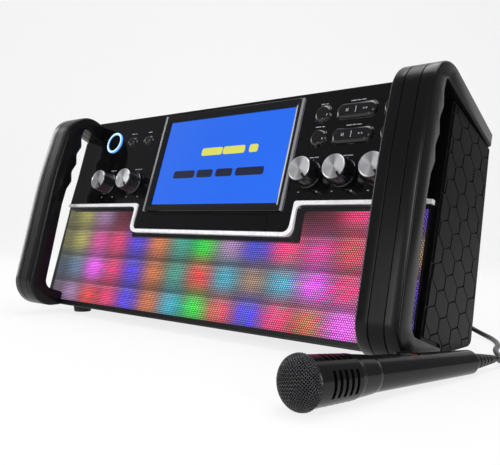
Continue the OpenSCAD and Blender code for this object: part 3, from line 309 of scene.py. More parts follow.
CABINET = grained("cabinet_plastic", (0.005, 0.005, 0.0055), 0.45, grain=0.7, depth=0.12, spec=0.16)
COVER = grained("cover_plastic", (0.0035, 0.0035, 0.004), 0.34, grain=0.6, depth=0.06, spec=0.1)
HANDLE = grained(
    "handle_plastic", (0.004, 0.004, 0.0045), 0.24, grain=0.6, depth=0.02, spread=0.06, spec=0.17,
)
BAND = grained("band_plastic", (0.0038, 0.0038, 0.0042), 0.3, grain=0.6, depth=0.05, spec=0.14)
GLOSS = grained("gloss_panel", (0.0028, 0.0028, 0.0032), 0.07, grain=30, depth=0.01, spread=0.03, spec=0.25)
BEZEL = grained("bezel_gloss", (0.003, 0.003, 0.0034), 0.1, grain=8, depth=0.01, spread=0.03, spec=0.5)
RUBBER = grained("rubber", (0.012, 0.012, 0.012), 0.75, grain=1.5, depth=0.4)
TRIM = grained("trim_silver", (0.9, 0.88, 0.92), 0.25, grain=3, depth=0.004, metal=0.1)
STRIP = grained("strip_silver", (0.42, 0.42, 0.44), 0.3, grain=2, depth=0.06, metal=0.7)
BOARD = grained("board", (0.008, 0.03, 0.014), 0.5, grain=4, depth=0.1)
STEEL = grained("steel", (0.6, 0.6, 0.62), 0.28, grain=1.5, depth=0.1, metal=1.0)
DARK_METAL = grained("dark_metal", (0.02, 0.02, 0.022), 0.4, grain=1.5, depth=0.2, metal=0.6)
CONE = grained("cone_paper", (0.02, 0.02, 0.022), 0.8, grain=0.8, depth=0.5)
TRAY = grained("tray_plastic", (0.02, 0.02, 0.022), 0.42, grain=0.7, depth=0.1, spec=0.35)
GREY = grained("grey_plastic", (0.09, 0.09, 0.095), 0.45, grain=0.9, depth=0.15)
NATURAL = grained("natural_plastic", (0.7, 0.67, 0.55), 0.5, grain=0.9, depth=0.1)
BROWN = grained("supply_board", (0.12, 0.07, 0.02), 0.5, grain=4, depth=0.1)
BUTTON = grained("button_gloss", (0.004, 0.004, 0.0045), 0.1, grain=10, depth=0.01, spread=0.03, spec=0.5)
KNOB_SIDE = grained("knob_side", (0.05, 0.05, 0.054), 0.16, grain=2, depth=0.02, metal=0.9)
MIC_GLOSS = grained("mic_gloss", (0.0045, 0.0045, 0.005), 0.17, grain=4, depth=0.02, spread=0.05, spec=0.25)
MIC_MATTE = grained("mic_matte", (0.012, 0.012, 0.013), 0.42, grain=1.0, depth=0.15)
LEAD = grained("lead_jacket", (0.007, 0.007, 0.0075), 0.42, grain=1.0, depth=0.1, spec=0.35)
MARK = grained("printed_mark", (0.35, 0.35, 0.37), 0.5, grain=1, depth=0.02)

for node, mat in {
    "cabinet": CABINET, "rear_housing": CABINET, "left_side_cover": COVER, "right_side_cover": COVER,
    "feet": RUBBER, "control_panel": GLOSS, "chrome_trim": TRIM,
    "left_screen_strip": STRIP, "right_screen_strip": STRIP, "led_board": BOARD,
    "left_speaker": DARK_METAL, "right_speaker": DARK_METAL, "left_cone": CONE, "right_cone": CONE,
    "left_control_board": BOARD, "right_control_board": BOARD, "tray_fascia": GLOSS, "disc_tray": TRAY,
    "loader_frame": GREY, "loader_pinion": NATURAL, "spindle_hub": GREY,
    "main_board": BOARD, "power_supply": BROWN, "power_inlet": RUBBER,
    "rear_sockets": STEEL, "rear_screws": DARK_METAL, "mic_plug": MIC_MATTE,
    "mic_switch": MIC_GLOSS, "mic_boot": LEAD, "mic_body": MIC_GLOSS, "mic_collar": MIC_GLOSS,
}.items():
    obj = NODES[node]
    obj.data.materials.clear()
    obj.data.materials.append(mat)
    obj.data.shade_smooth()
    sharp(obj, 28)

# The lead: one curve from the strain relief over the coil to the plug

def spline(p, steps):
    out = []
    for i in range(len(p) - 1):
        a, b, c, d = p[max(i - 1, 0)], p[i], p[i + 1], p[min(i + 2, len(p) - 1)]
        square, cube = 2 * a - 5 * b + 4 * c - d, 3 * b - a - 3 * c + d
        for s in range(steps):
            t = s / steps
            out.append(0.5 * (2 * b + (c - a) * t + square * t * t + cube * t ** 3))
    return out + [p[-1]]


LEAD_D = 4.0
COIL_TURNS = 12 - 20 / 360
LAYERS = 4
PER_LAYER = COIL_TURNS / LAYERS
PITCH = LEAD_D + 0.75
COIL_CENTRE = (160, 95)
COIL_OUTER = 30.6


def coil_point(turns):
    k = math.floor(turns / PER_LAYER + 0.5)
    edge = turns - k * PER_LAYER
    if 0 < k < LAYERS and abs(edge) < 0.25:
        layer = k - 0.5 + edge / 0.5
    else:
        layer = min(LAYERS - 1, max(0, math.floor(turns / PER_LAYER)))
    wave = abs((turns / PER_LAYER + 1) % 2 - 1)
    a, r = math.radians(90 - 360 * turns), COIL_OUTER - wave * PER_LAYER * PITCH
    z = LEAD_D / 2 + 0.15 + layer * PITCH
    return Vector((COIL_CENTRE[0] + r * math.cos(a), COIL_CENTRE[1] + r * math.sin(a), z))


coil_rings = round(COIL_TURNS * 24)
coil = [coil_point(COIL_TURNS * i / coil_rings) for i in range(coil_rings + 1)]
coil_low = coil[0] - LEAD_D * unit(coil[1] - coil[0])
coil_high = coil[-1] + LEAD_D * unit(coil[-1] - coil[-2])
boot_way = unit(MIC.to_3x3() @ Vector((0, 1, 0)))
boot_end = (FLOOR.inverted() @ MIC) @ Vector((0, BOOT_Y, 0))
points = [
    (246, 22, 3.6), (242, 36, 2.2), (234, 50, 2.2), (227, 66, 2.2), (223, 82, 2.2), (216, 98, 2.2),
    (207, 112, 2.3), (196, 122, 3.4), (184, 128, 6.5), (173, 130, 11),
]
mic_route = [boot_end + d * boot_way for d in (0.05, 2.5, 5)] + [Vector(p) for p in points]
mic_route += [coil_high + 5 * unit(coil_high - coil[-1]), coil_high]
plug_end = (FLOOR.inverted() @ REAR) @ Vector((128, 44, -58))
plug_way = unit(REAR.to_3x3() @ Vector((0, 1, 0)))
points = [(128, 115, 48), (128.5, 122, 34), (130, 127, 20), (133, 130, 9), (139, 131, 3.2)]
plug_route = [plug_end + d * plug_way for d in (0.05, 2.5, 5)] + [Vector(p) for p in points]
plug_route += [coil_low + 5 * unit(coil_low - coil[0]), coil_low]
line = spline(mic_route, 4)[:-1] + [coil_high] + coil[::-1] + [coil_low] + spline(plug_route, 4)[::-1][1:]
line = [FLOOR @ p for p in line]
curve = bpy.data.curves.new("lead", "CURVE")
curve.dimensions, curve.bevel_depth = "3D", LEAD_D / 2000
curve.bevel_resolution, curve.use_fill_caps = 5, True
path = curve.splines.new("POLY")
path.points.add(len(line) - 1)
for point, p in zip(path.points, line):
    point.co = (*p, 1)
path.use_smooth = True
curve.materials.append(LEAD)
lead = linked("lead", curve)
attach(lead, "machine")
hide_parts("mic_lead", "lead_coil", "plug_lead")

# The coil's tie: a strap round its four layers
inner_r, outer_r = COIL_OUTER - PER_LAYER * PITCH - LEAD_D / 2 - 0.5, COIL_OUTER + LEAD_D / 2 + 0.4
high, middle_r = LEAD_D + 0.6 + (LAYERS - 1) * PITCH, (outer_r + inner_r) / 2
loop = rounded(outer_r - inner_r, high, 4, 6, middle_r, high / 2)
outer_loop = rounded(outer_r - inner_r + 1.6, high + 0.86, 4.6, 6, middle_r, high / 2 + 0.35)
verts = []
for n in (-4, 4):
    verts += [(x, n, max(y, 0.1)) for x, y in loop]
    verts += [(x, n, max(y, 0.02)) for x, y in outer_loop]
TIE = grained("tie_strap", (0.02, 0.02, 0.021), 0.8, grain=0.5, depth=0.5)
place = FLOOR @ Matrix.Translation((*COIL_CENTRE, 0)) @ Matrix.Rotation(math.radians(-35), 4, "Z")
tie = thing("lead_tie", verts, sleeve(len(loop)), place, "machine", TIE)

# Side handles: one side-view outline with finely rounded corners, lofted across each shell.
# A corner uses up to the share named limit of its shorter edge

def corner(a, b, c, r, steps, limit):
    u, w = unit(a - b), unit(c - b)
    half = math.acos(max(-1, min(1, u.dot(w)))) / 2
    reach = min(r / math.tan(half), limit * min((a - b).length, (c - b).length))
    centre = b + unit(u + w) * reach / math.cos(half)
    start = b + u * reach - centre
    turn = (b - a).x * (c - b).y - (b - a).y * (c - b).x
    sweep = (math.pi - 2 * half) * (1 if turn > 0 else -1)
    return [centre + Matrix.Rotation(sweep * i / steps, 2) @ start for i in range(steps + 1)]


def inset_outline(corners, d):
    k, moved, out = len(corners), [], []
    for i, (x, y, r, steps, limit) in enumerate(corners):
        a, b, c = Vector(corners[i - 1][:2]), Vector((x, y)), Vector(corners[(i + 1) % k][:2])
        u, w = unit(b - a), unit(c - b)
        na, nb = Vector((-u.y, u.x)), Vector((-w.y, w.x))
        sign = 1 if u.x * w.y - u.y * w.x > 0 else -1
        moved.append((b + d * (na + nb) / (1 + na.dot(nb)), max(r - d * sign, 0.2), steps, limit))
    for i, (b, r, steps, limit) in enumerate(moved):
        out += corner(moved[i - 1][0], b, moved[(i + 1) % k][0], r, steps, limit)
    return out


FRONT_N, BACK_N, ARM_END, ARM_V = -42, -24.2, 30, -137
SLOT_V, RAIL_V, RAIL_REAR, BUMP_V, BUMP, BUMP_OUT = 37.8, 57.5, 35.5, 16, 19.7, 3.2
CAD_FRONT, CAD_BACK, SHARE = -46, -27.5, 0.48


def base_v(n):
    return (n * math.sin(RAKE) - BASE_DROP) / math.cos(RAKE)


def grille_n(v):
    return (TRIM_V - v) * math.tan(GRILLE_LEAN)


def rail_low(n):
    return SLOT_V - 13.5 * (n - CAD_BACK) / (TOP_DEPTH - CAD_BACK)


def rail_high(n):
    return RAIL_V - (RAIL_V - RAIL_REAR) * (n - CAD_FRONT) / (TOP_DEPTH - CAD_FRONT)


def handle_outline(long):
    low_n, high_n = FRONT_N + 10, FRONT_N + 1.3
    if long:
        low = [(ARM_END, base_v(ARM_END), 0.5, 3, SHARE), (ARM_END, ARM_V, 2, 3, SHARE)]
        high = [(66.4, rail_low(TOP_DEPTH), 1.5, 3, SHARE), (66.2, RAIL_REAR, 2, 4, SHARE)]
    else:
        low_v = base_v(BASE_N)
        low = [(grille_n(low_v), low_v, 0.5, 3, SHARE), (grille_n(ARM_V), ARM_V, 3, 4, SHARE)]
        high = [(0, rail_low(0), 0.5, 3, SHARE), (0, rail_high(0), 0.5, 3, SHARE)]
    bumps = []
    for i in (2, 1, 0):
        bumps.append((BACK_N, BUMP_V - (i + 0.5) * BUMP, 7, 6, SHARE))
        bumps.append((BACK_N + BUMP_OUT, BUMP_V - i * BUMP, 4, 6, SHARE))
    return (
        [(low_n, base_v(low_n), 25, 20, 0.88)] + low
        + [(BACK_N + 7.5, ARM_V, 9, 8, SHARE), (BACK_N, -30 - BUMP, 25, 6, SHARE)] + bumps
        + [(BACK_N, BUMP_V + BUMP / 2, 6, 6, SHARE), (BACK_N + 1, SLOT_V, 4, 6, SHARE)] + high
        + [(high_n, rail_high(high_n), 27, 22, 0.8), (FRONT_N, -25, 500, 10, SHARE)]
    )


def handle_shell(name, layers, long, side, material, replaces=()):
    loops = [[(u, p) for p in inset_outline(handle_outline(long), d)] for u, d in layers]
    k = len(loops[0])
    verts = [(side * u, p.x, p.y) for loop in loops for u, p in loop]
    faces = caps(k, len(loops)) + bands(k, len(loops))
    return thing(name, verts, faces, LEAN, "machine", material, replaces=replaces)


# Edges of a shell, as (distance from its face, inset of the outline): a rounded rim and a fine seam
RIM = [(0, 1.7), (0.25, 0.95), (0.8, 0.35), (1.7, 0)]
SEAM = [(0, 0.9), (0.1, 0.5), (0.55, 0)]


def starts(u, edge):
    return [(u + d, inset) for d, inset in edge]


def stops(u, edge):
    return [(u - d, inset) for d, inset in edge[::-1]]


INNER_U, SEAM_A, SEAM_B, OUTER_U = 187.6, 197.2, 208.8, 219.5
shared_face = [(BODY_HALF + 0.02, 0)]
for word, side in (("left_handle", -1), ("right_handle", 1)):
    grip = starts(INNER_U, RIM) + stops(SEAM_A, SEAM)
    handle_shell(word + "_grip", grip, False, side, HANDLE, (word + "_inner",))
    band = starts(SEAM_A, SEAM) + stops(SEAM_B, SEAM)
    handle_shell(word + "_centre", band, False, side, BAND, (word + "_band",))
    handle_shell(word + "_join", starts(SEAM_B, SEAM) + shared_face, False, side, HANDLE)
    handle_shell(word + "_side", shared_face + stops(OUTER_U, RIM), True, side, HANDLE, (word + "_outer",))

# Screen: a lit picture with plain bars in place of words, behind clear glass

picture_mat = plain("picture", (0, 0, 0), 0.4)
nodes, links = nodes_of(picture_mat)
shader = nodes["Principled BSDF"]
where = add(nodes, "ShaderNodeTexCoord")
split = add(nodes, "ShaderNodeSeparateXYZ")
links.new(where.outputs["Object"], split.inputs[0])
rows = add(nodes, "ShaderNodeMath", operation="MULTIPLY")
rows.inputs[1].default_value = 2 * math.pi / 0.0009
links.new(split.outputs["Z"], rows.inputs[0])
wave = add(nodes, "ShaderNodeMath", operation="SINE")
links.new(rows.outputs[0], wave.inputs[0])
levels = {"From Min": -1.0, "From Max": 1.0, "To Min": 0.9, "To Max": 1.0}
span = add(nodes, "ShaderNodeMapRange", **levels)
links.new(wave.outputs[0], span.inputs["Value"])
links.new(span.outputs["Result"], shader.inputs["Emission Strength"])
cloud = add(nodes, "ShaderNodeTexNoise", Scale=9.0, Detail=1.0)
links.new(where.outputs["Object"], cloud.inputs["Vector"])
ramp = add(nodes, "ShaderNodeValToRGB")
ramp.color_ramp.elements[0].color = (0.004, 0.135, 0.90, 1)
ramp.color_ramp.elements[1].color = (0.006, 0.160, 1.0, 1)
links.new(cloud.outputs["Fac"], ramp.inputs["Fac"])
links.new(ramp.outputs["Color"], shader.inputs["Emission Color"])
plate("picture", rounded(SCREEN_W, SCREEN_H, 0.3, 2), 0.3, 0.78, LEAN, "machine", picture_mat)
YELLOW = glowing("bar_yellow", (0.85, 0.85, 0.12), 0.9)
NAVY = glowing("bar_navy", (0.004, 0.008, 0.05), 0.6)
for i, (u, w) in enumerate(((-12, 26), (15, 26), (38, 10))):
    plate("bar_high_%d" % i, rounded(w, 7.5, 2.2, 5, u, 8.5), 0.22, 0.32, LEAN, "machine", YELLOW)
for i, (u, w) in enumerate(((-42, 28), (-15, 20), (9, 20), (39, 32))):
    plate("bar_low_%d" % i, rounded(w, 7.5, 2.2, 5, u, -13), 0.22, 0.32, LEAN, "machine", NAVY)

glass = bpy.data.materials.new("screen_glass")
glass.use_nodes = True
nodes, links = nodes_of(glass)
nodes.remove(nodes["Principled BSDF"])
clear = add(nodes, "ShaderNodeBsdfTransparent")
shine = add(nodes, "ShaderNodeBsdfGlossy")
shine.inputs["Roughness"].default_value = 0.06
edge = add(nodes, "ShaderNodeFresnel", IOR=1.2)
both = add(nodes, "ShaderNodeMixShader")
links.new(edge.outputs[0], both.inputs[0])
links.new(clear.outputs[0], both.inputs[1])
links.new(shine.outputs[0], both.inputs[2])
links.new(both.outputs[0], nodes["Material Output"].inputs["Surface"])
pane = rounded(SCREEN_W + 3.6, SCREEN_H + 3.6, 0.5, 2)
plate("screen_glass", pane, -0.75, -0.25, LEAN, "machine", glass, replaces=("screen_window",))
low, high = -SCREEN_H / 2 - 7.2, SCREEN_H / 2 + 6.6
mid, tall, wide = (low + high) / 2, high - low, SCREEN_W + 10.8


def bezel_loop(less_w, less_h, r):
    return rounded(wide - less_w, tall - less_h, r, 4, 0, mid)


opening = rounded(SCREEN_W, SCREEN_H, 0.3, 4)
layers = [
    (2.9, bezel_loop(0.9, 4, 1.6)), (0.02, bezel_loop(0.9, 4, 1.6)),
    (0.0, bezel_loop(0, 0, 2)), (-2.2, bezel_loop(0, 0, 2)),
    (-2.6, bezel_loop(0.8, 0.8, 1.7)), (-2.6, bezel_loop(3.4, 5.4, 1.2)), (-0.84, opening), (2.9, opening),
]
faces = bands(len(opening), len(layers), True)
thing("bezel_frame", depths(layers), faces, LEAN, "machine", BEZEL, replaces=("screen_bezel",))
NODES["lcd_panel"].data.materials.clear()
NODES["lcd_panel"].data.materials.append(DARK_METAL)

# Light grille: a perforated sheet in front of a lit sheet with soft spots

EDGE_IN, MARGIN, APRON_R = 1.2, 0.05, 8
foot = (-BASE_DROP / math.cos(RAKE) + BASE_N * math.tan(RAKE) - TRIM_V) / math.cos(GRILLE_LEAN) + EDGE_IN
top, dip = -1.6 - MARGIN, (-69.5 - TRIM_V) - 1.6 - MARGIN
half, apron = BODY_HALF - EDGE_IN, 98.6 + MARGIN
outline = [(-half, foot), (half, foot), (half, top), (apron, top)]
outline += [
    (apron - 4 + 4 * math.cos(a), dip + APRON_R - APRON_R * math.sin(a)) for a in (0.2, 0.8, 1.3)
]
outline += [(-x, y) for x, y in outline[::-1] if x > 0 and (x, y) != (half, foot)]


def inside(x, y, m):
    if not (abs(x) < half - m and foot + m < y < top - m):
        return False
    if abs(x) < apron + m and y > dip - m:
        bend = (apron - APRON_R, dip + APRON_R)
        if abs(x) > bend[0] and y < bend[1]:
            return math.hypot(abs(x) - bend[0], y - bend[1]) > APRON_R + m
        return False
    return True


def perforated(name, pitch, hole, n, material):
    row_step = pitch * math.sqrt(3) / 2
    hexagon = [(math.sin(math.radians(60 * k)), math.cos(math.radians(60 * k))) for k in range(6)]
    outer, inner = pitch / math.sqrt(3), hole / 2
    verts, faces, known = [], [], {}

    def shared(x, y):
        key = (round(x * 20), round(y * 20))
        if key not in known:
            known[key] = len(verts)
            verts.append((x, n, y))
        return known[key]

    rows = int((top - foot) / row_step) + 2
    cols = int(2 * half / pitch) + 2
    for j in range(rows):
        for i in range(-cols // 2, cols // 2 + 1):
            x, y = (i + 0.5 * (j % 2)) * pitch, foot + j * row_step
            if not inside(x, y, 0.6):
                continue
            ring = [shared(x + outer * a, y + outer * b) for a, b in hexagon]
            start = len(verts)
            verts += [(x + inner * a, n, y + inner * b) for a, b in hexagon]
            faces += [(ring[k], ring[(k + 1) % 6], start + (k + 1) % 6, start + k) for k in range(6)]
    return thing(name, verts, faces, GRILLE, "machine", material, smooth=False, replaces=("mesh_grille",))


mesh_mat = grained("grille_metal", (0.016, 0.016, 0.018), 0.35, grain=1, depth=0.1, metal=0.4)
perforated("grille_sheet", 1.9, 1.5, 0.25, mesh_mat)

# A narrow rim round the sheet, broader along the straight edges than under the apron
SIDE_RIM, APRON_RIM, RIM_N = 1.1, 0.8, 1.2
inner_edge = []
for x, y in outline:
    way = 1 if x > 0 else -1
    if abs(x) > apron + 12:
        inner_edge.append((x - way * SIDE_RIM, y + (SIDE_RIM if y < (foot + top) / 2 else -SIDE_RIM)))
    else:
        width = SIDE_RIM if y > dip + 7.5 else APRON_RIM
        inner_edge.append((x + way * width, y - width))
verts = depths([(0.0, outline), (0.0, inner_edge), (RIM_N, outline), (RIM_N, inner_edge)])
thing("grille_rim", verts, sleeve(len(outline)), GRILLE, "machine", mesh_mat, smooth=False)

# Lamp colours by name, their order from left to right, and the lamps of each row that leave that order
HUES = {
    "khaki": (0.36, 0.33, 0.06), "slate": (0.10, 0.20, 0.32), "mauve": (0.34, 0.18, 0.38),
    "rose": (0.75, 0.03, 0.34), "crimson": (0.85, 0.02, 0.16), "magenta": (0.80, 0.04, 0.85),
    "indigo": (0.05, 0.03, 0.75), "blue": (0.02, 0.04, 0.80), "orange": (0.62, 0.16, 0.03),
    "teal": (0.04, 0.36, 0.28), "green": (0.01, 0.72, 0.05), "cyan": (0.02, 0.45, 0.62),
    "scarlet": (0.80, 0.04, 0.03), "salmon": (0.80, 0.07, 0.08), "tan": (0.42, 0.25, 0.14),
    "yellow": (0.62, 0.45, 0.03), "maroon": (0.10, 0.008, 0.02),
}
DRIFT = "khaki rose crimson indigo orange teal green mauve blue crimson rose salmon magenta".split()
ACCENTS = {
    1: {-5: "mauve", -4: "maroon", 4: "maroon", 5: "crimson"}, 2: {},
    3: {
        -6: "slate", -5: "magenta", 0: "scarlet", 1: "cyan",
        2: "tan", 3: "cyan", 4: "magenta", 5: "crimson",
    },
    4: {-6: "mauve", -5: "scarlet", -1: "cyan", 1: "salmon", 4: "orange", 5: "magenta", 6: "yellow"},
}
EDGE = {1: "blue", 2: "yellow", 3: "blue", 4: "indigo"}
LAMP_X, LAMP_Z, LAMP_TOP = 30.5, 28, -8
rng = random.Random(7)
lamps = []
for row in range(1, 5):
    for col in range(-6, 7):
        level = 0.85 + 0.3 * rng.random()
        if row > 1 or abs(col) > 3:
            hue = HUES[ACCENTS[row].get(col, DRIFT[col + 6])]
            lamps.append((col * LAMP_X, LAMP_TOP - (row - 1) * LAMP_Z, [c * level for c in hue]))
    lamps.append((7.1 * LAMP_X, LAMP_TOP - (row - 1) * LAMP_Z, [0.5 * c for c in HUES[EDGE[row]]]))


# Colour of the lit sheet: soft fields that run into each other, a saturated core at each lamp,
# a painted highlight line along each shelf and a painted shade band above it
def lamp_colour(x, y):
    total, field, core, near = 0.0, [0.0, 0.0, 0.0], [0.0, 0.0, 0.0], 0.0
    for lx, ly, c in lamps:
        dx, dy = abs(x - lx), abs(y - ly)
        if dx > 55 or dy > 50:
            continue
        w = math.exp(-(dx / 17) ** 2 - (dy / 15) ** 2)
        spot = math.exp(-(dx / 14) ** 2 - (dy / 11.5) ** 2)
        total += w
        field = [a + w * b for a, b in zip(field, c)]
        core = [a + spot * b for a, b in zip(core, c)]
        near = max(near, spot)
    if total < 1e-6:
        return [0.03, 0.03, 0.03]
    field = [c / total for c in field]
    grey = sum(field) / 3
    field = [0.62 * c + 0.38 * grey for c in field]
    pos = (y - LAMP_TOP + LAMP_Z / 2) % LAMP_Z - LAMP_Z / 2
    # Painted highlight line along each shelf, and painted shade in a band above it
    line = math.exp(-((pos - 8.6) / 1.1) ** 2)
    shelf_painted_shade = math.exp(-((pos - 12.5) / 3.2) ** 2) + 0.5 * math.exp(-((pos + 13) / 3) ** 2)
    shade = 1 - 0.4 * min(1, shelf_painted_shade)
    return [(0.42 * f + 0.9 * c) * shade + 0.1 * line * (0.3 + f + near) for f, c in zip(field, core)]


STEP, LIT_HALF, LIP, LIT_N, LIP_N = 2.0, 204.6, 210.2, 5.6, 1.0
cols, rows = int(2 * LIT_HALF / STEP), int((top - foot - 8) / STEP)
across = [-LIP, -LIT_HALF - 0.2] + [-LIT_HALF + 2 * LIT_HALF * i / cols for i in range(cols + 1)]
across += [LIT_HALF + 0.2, LIP]
cols = len(across) - 1
heights = [foot + 5 + j * STEP for j in range(rows + 1)]
verts = [(x, LIP_N if abs(x) > LIT_HALF + 0.1 else LIT_N, y) for y in heights for x in across]
faces = []
for j in range(rows):
    for i in range(cols):
        if abs(across[i] + STEP / 2) < 102 and heights[j] > dip - 4.5:
            continue
        a = j * (cols + 1) + i
        faces.append((a, a + 1, a + cols + 2, a + cols + 1))
lamp_mat = plain("lamp_sheet", (0, 0, 0), 0.5)
nodes, links = nodes_of(lamp_mat)
shader = nodes["Principled BSDF"]
paint = add(nodes, "ShaderNodeVertexColor")
paint.layer_name = "glow"
where = add(nodes, "ShaderNodeTexCoord")
stretch = add(nodes, "ShaderNodeMapping")
stretch.inputs["Scale"].default_value = (25, 25, 700)
streak = add(nodes, "ShaderNodeTexNoise", Scale=1.0, Detail=2.0)
links.new(where.outputs["Object"], stretch.inputs["Vector"])
links.new(stretch.outputs["Vector"], streak.inputs["Vector"])
levels = {"From Min": 0.25, "From Max": 0.75, "To Min": 1.15, "To Max": 1.95}
span = add(nodes, "ShaderNodeMapRange", **levels)
links.new(streak.outputs["Fac"], span.inputs["Value"])
links.new(paint.outputs["Color"], shader.inputs["Emission Color"])
links.new(span.outputs["Result"], shader.inputs["Emission Strength"])
sheet = thing("lamp_sheet", verts, faces, Matrix.Identity(4), None, lamp_mat, smooth=False)
layer = sheet.data.color_attributes.new("glow", "FLOAT_COLOR", "POINT")
for i, v in enumerate(sheet.data.vertices):
    layer.data[i].color = (*lamp_colour(v.co.x, v.co.z), 1)
sheet.data.transform(GRILLE)
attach(sheet, "machine")

# Knobs: ribbed skirts and spun faces with painted highlight fans and a dark pointer notch

KNOB_SIDES, RIB = 96, 0.22
SKIRT = [
    (4.0, -1.9, 0), (11.55, -1.9, 0), (11.6, -3.3, 0), (11.2, -3.7, 0), (10.95, -4.3, 1), (10.55, -15.4, 1),
    (10.35, -16.2, 0), (9.9, -16.8, 0),
]
FACE = [(9.95, -16.7), (9.75, -17.0), (9.3, -17.0), (9.0, -16.75), (6.0, -16.62), (1.4, -16.5), (0, -16.5)]
forward = unit(LEAN.to_3x3() @ Vector((0, -1, 0)))
# Direction across the knob faces along which their painted highlight fans lie
side = unit(LEAN.to_3x3() @ Vector((math.cos(0.35), 0, math.sin(0.35))))
for name, u in KNOBS.items():
    place = LEAN @ Matrix.Translation((u, 0, KNOB_V))
    verts = []
    for r, n, ribbed in SKIRT:
        for k in range(KNOB_SIDES):
            a, groove = 2 * math.pi * k / KNOB_SIDES, RIB if ribbed and k % 4 == 0 else 0
            verts.append(((r - groove) * math.cos(a), n, (r - groove) * math.sin(a)))
    faces = bands(KNOB_SIDES, len(SKIRT))
    thing(name + "_skirt", verts, faces, place, name, KNOB_SIDE, replaces=(name,))
    centre = place @ Vector((0, -17, 0))
    painted_fan_face_mat = spun(name + "_face_painted_fans", (0.82, 0.82, 0.84), 0.3, centre, tuple(forward), tuple(side))
    turned(name + "_face", FACE, place, name, painted_fan_face_mat, sides=KNOB_SIDES)
    notch = place @ Matrix.Rotation(math.radians(50), 4, "Y")
    plate(name + "_pointer", rounded(4.6, 1.9, 0.6, 4, 8.1, 0), -17.12, -16.2, notch, name, BUTTON)

# Buttons, rockers and the lit power ring

for name, (u, v) in {**SMALL, **ROUND}.items():
    r, front, slope = (4.5, -1.8, 1.3) if name in SMALL else (7.5, -2.2, 2.1)
    place = LEAN @ Matrix.Translation((u, 0, v))
    cap = [(r, 4.3), (r, -0.5), (r - 0.12, -0.75), (r - slope, front + 0.08), (r - slope - 0.3, front)]
    cap += [(r * 0.4, front + 0.1), (0, front + 0.12)]
    turned(name + "_cap", cap, place, name, BUTTON, replaces=(name,))
    collar = [(r + 0.35, -0.02), (r + 0.38, -0.4), (r + 0.6, -0.45), (r + 0.95, -0.02)]
    turned(name + "_collar", collar, place, "machine", BEZEL)
place = LEAN @ Matrix.Translation((POWER[0], 0, POWER[1]))
RING = glowing("ring_light", (0.10, 0.32, 1.0), 1.4)
RING_CORE = glowing("ring_core", (0.55, 0.8, 1.0), 1.5)
ring = [(11.5, 2.8), (11.5, -1.4), (11.2, -1.75), (10.9, -1.85), (9.9, -1.85)]
ring += [(9.5, -1.75), (9.2, -1.4), (9.2, 2.8)]
turned(
    "power_light", ring, place, "machine", [RING, RING_CORE], replaces=("power_ring",),
    faces_of=lambda c: 1 if 9.6 < math.hypot(c.x, c.z) < 11.1 else 0,
)
cap = [(8.85, 4.3), (8.85, -1.1), (8.6, -1.45), (7.6, -1.5), (4, -1.2), (0, -1.1)]
turned("power_cap", cap, place, "power_button", BUTTON, replaces=("power_button",))


# Layers of a rocker's piece, from (depth, width, height, corner radius)
def ovals(rows):
    return [(n, rounded(w, h, r, 10)) for n, w, h, r in rows]


for name, v in ROCKERS.items():
    place = LEAN @ Matrix.Translation((ROCKER_U, 0, v))
    cap = ovals([
        (3.9, 36, 13, 6.48), (-0.5, 36, 13, 6.48), (-0.75, 35.8, 12.8, 6.38),
        (-1.98, 32.2, 9.2, 4.58), (-2.08, 31.6, 8.6, 4.28), (-1.9, 20, 5, 2.4),
    ])
    stack(name + "_cap", cap, place, name, BUTTON, replaces=(name,))
    collar = ovals([
        (-0.02, 36.7, 13.7, 6.8), (-0.4, 36.8, 13.8, 6.85), (-0.45, 37.2, 14.2, 7.05), (-0.02, 38, 15, 7.4),
    ])
    faces = bands(len(collar[0][1]), len(collar))
    thing(name + "_collar", depths(collar), faces, place, "machine", BEZEL)
    for du, w, h in ((-8.5, 0.7, 2.6), (-7, 0.7, 2.6), (0, 0.6, 5.5), (7, 1.2, 1.2), (9.5, 1.2, 1.2)):
        dash = rounded(w, h, 0.2, 2, ROCKER_U + du, v)
        plate(name + "_mark_%d" % (du * 2 + 30), dash, -2.1, -1.85, LEAN, name, MARK)

# Printed marks: plain dashes and ticks, no words

mark_id = 0


def mark(u, v, w, h):
    global mark_id
    mark_id += 1
    dash = rounded(w, h, min(0.2, w / 2 - 0.01, h / 2 - 0.01), 2, u, v)
    plate("mark_%02d" % mark_id, dash, -0.06, 0.02, LEAN, "machine", MARK)


def label(u, v, widths, h=0.75):
    x = u - (sum(widths) + 0.8 * (len(widths) - 1)) / 2
    for w in widths:
        mark(x + w / 2, v, w, h)
        x += w + 0.8


for u, widths in zip(KNOBS.values(), [(5, 3), (3, 4, 2), (4, 4), (3, 5), (6, 3)]):
    label(u, KNOB_V + 15.6, widths)
    for s in (-1, 1):
        mark(u + s * 8.6, KNOB_V - 13.6, 1.6, 0.6)
    mark(u + 8.6, KNOB_V - 13.6, 0.6, 1.6)
    mark(u, KNOB_V + 13.2, 0.5, 1.2)
button_labels = [(4, 3), (5,), (4, 2), (5, 3), (3, 3), (4,)]
for (u, v), widths in zip([*SMALL.values(), *ROUND.values()], button_labels):
    label(u, v + (8.6 if v > 30 or u < 0 else 9.6), widths, 0.7)
for v in ROCKERS.values():
    label(ROCKER_U, v + 8.7, (5, 3, 4), 0.7)
for s in (-1, 1):
    for u, v in SMALL.values():
        mark(u + s * 6.8, v, 0.7, 2.0)

# Microphone: foam, wire basket and its rim

def dome(t):
    front = 0.86 * MIC_R
    return MIC_R * math.sin(t) ** 0.8, COLLAR_Y - (front + COLLAR_Y) * max(0.0, math.cos(t)) ** 0.8


# Arc length from the middle of the dome's front, to drape a flat weave over it
dome_steps = 90
arc, dome_points = [0.0], [dome(math.pi / 2 * i / dome_steps) for i in range(dome_steps + 1)]
for (r0, y0), (r1, y1) in zip(dome_points, dome_points[1:]):
    arc.append(arc[-1] + math.hypot(r1 - r0, y1 - y0))


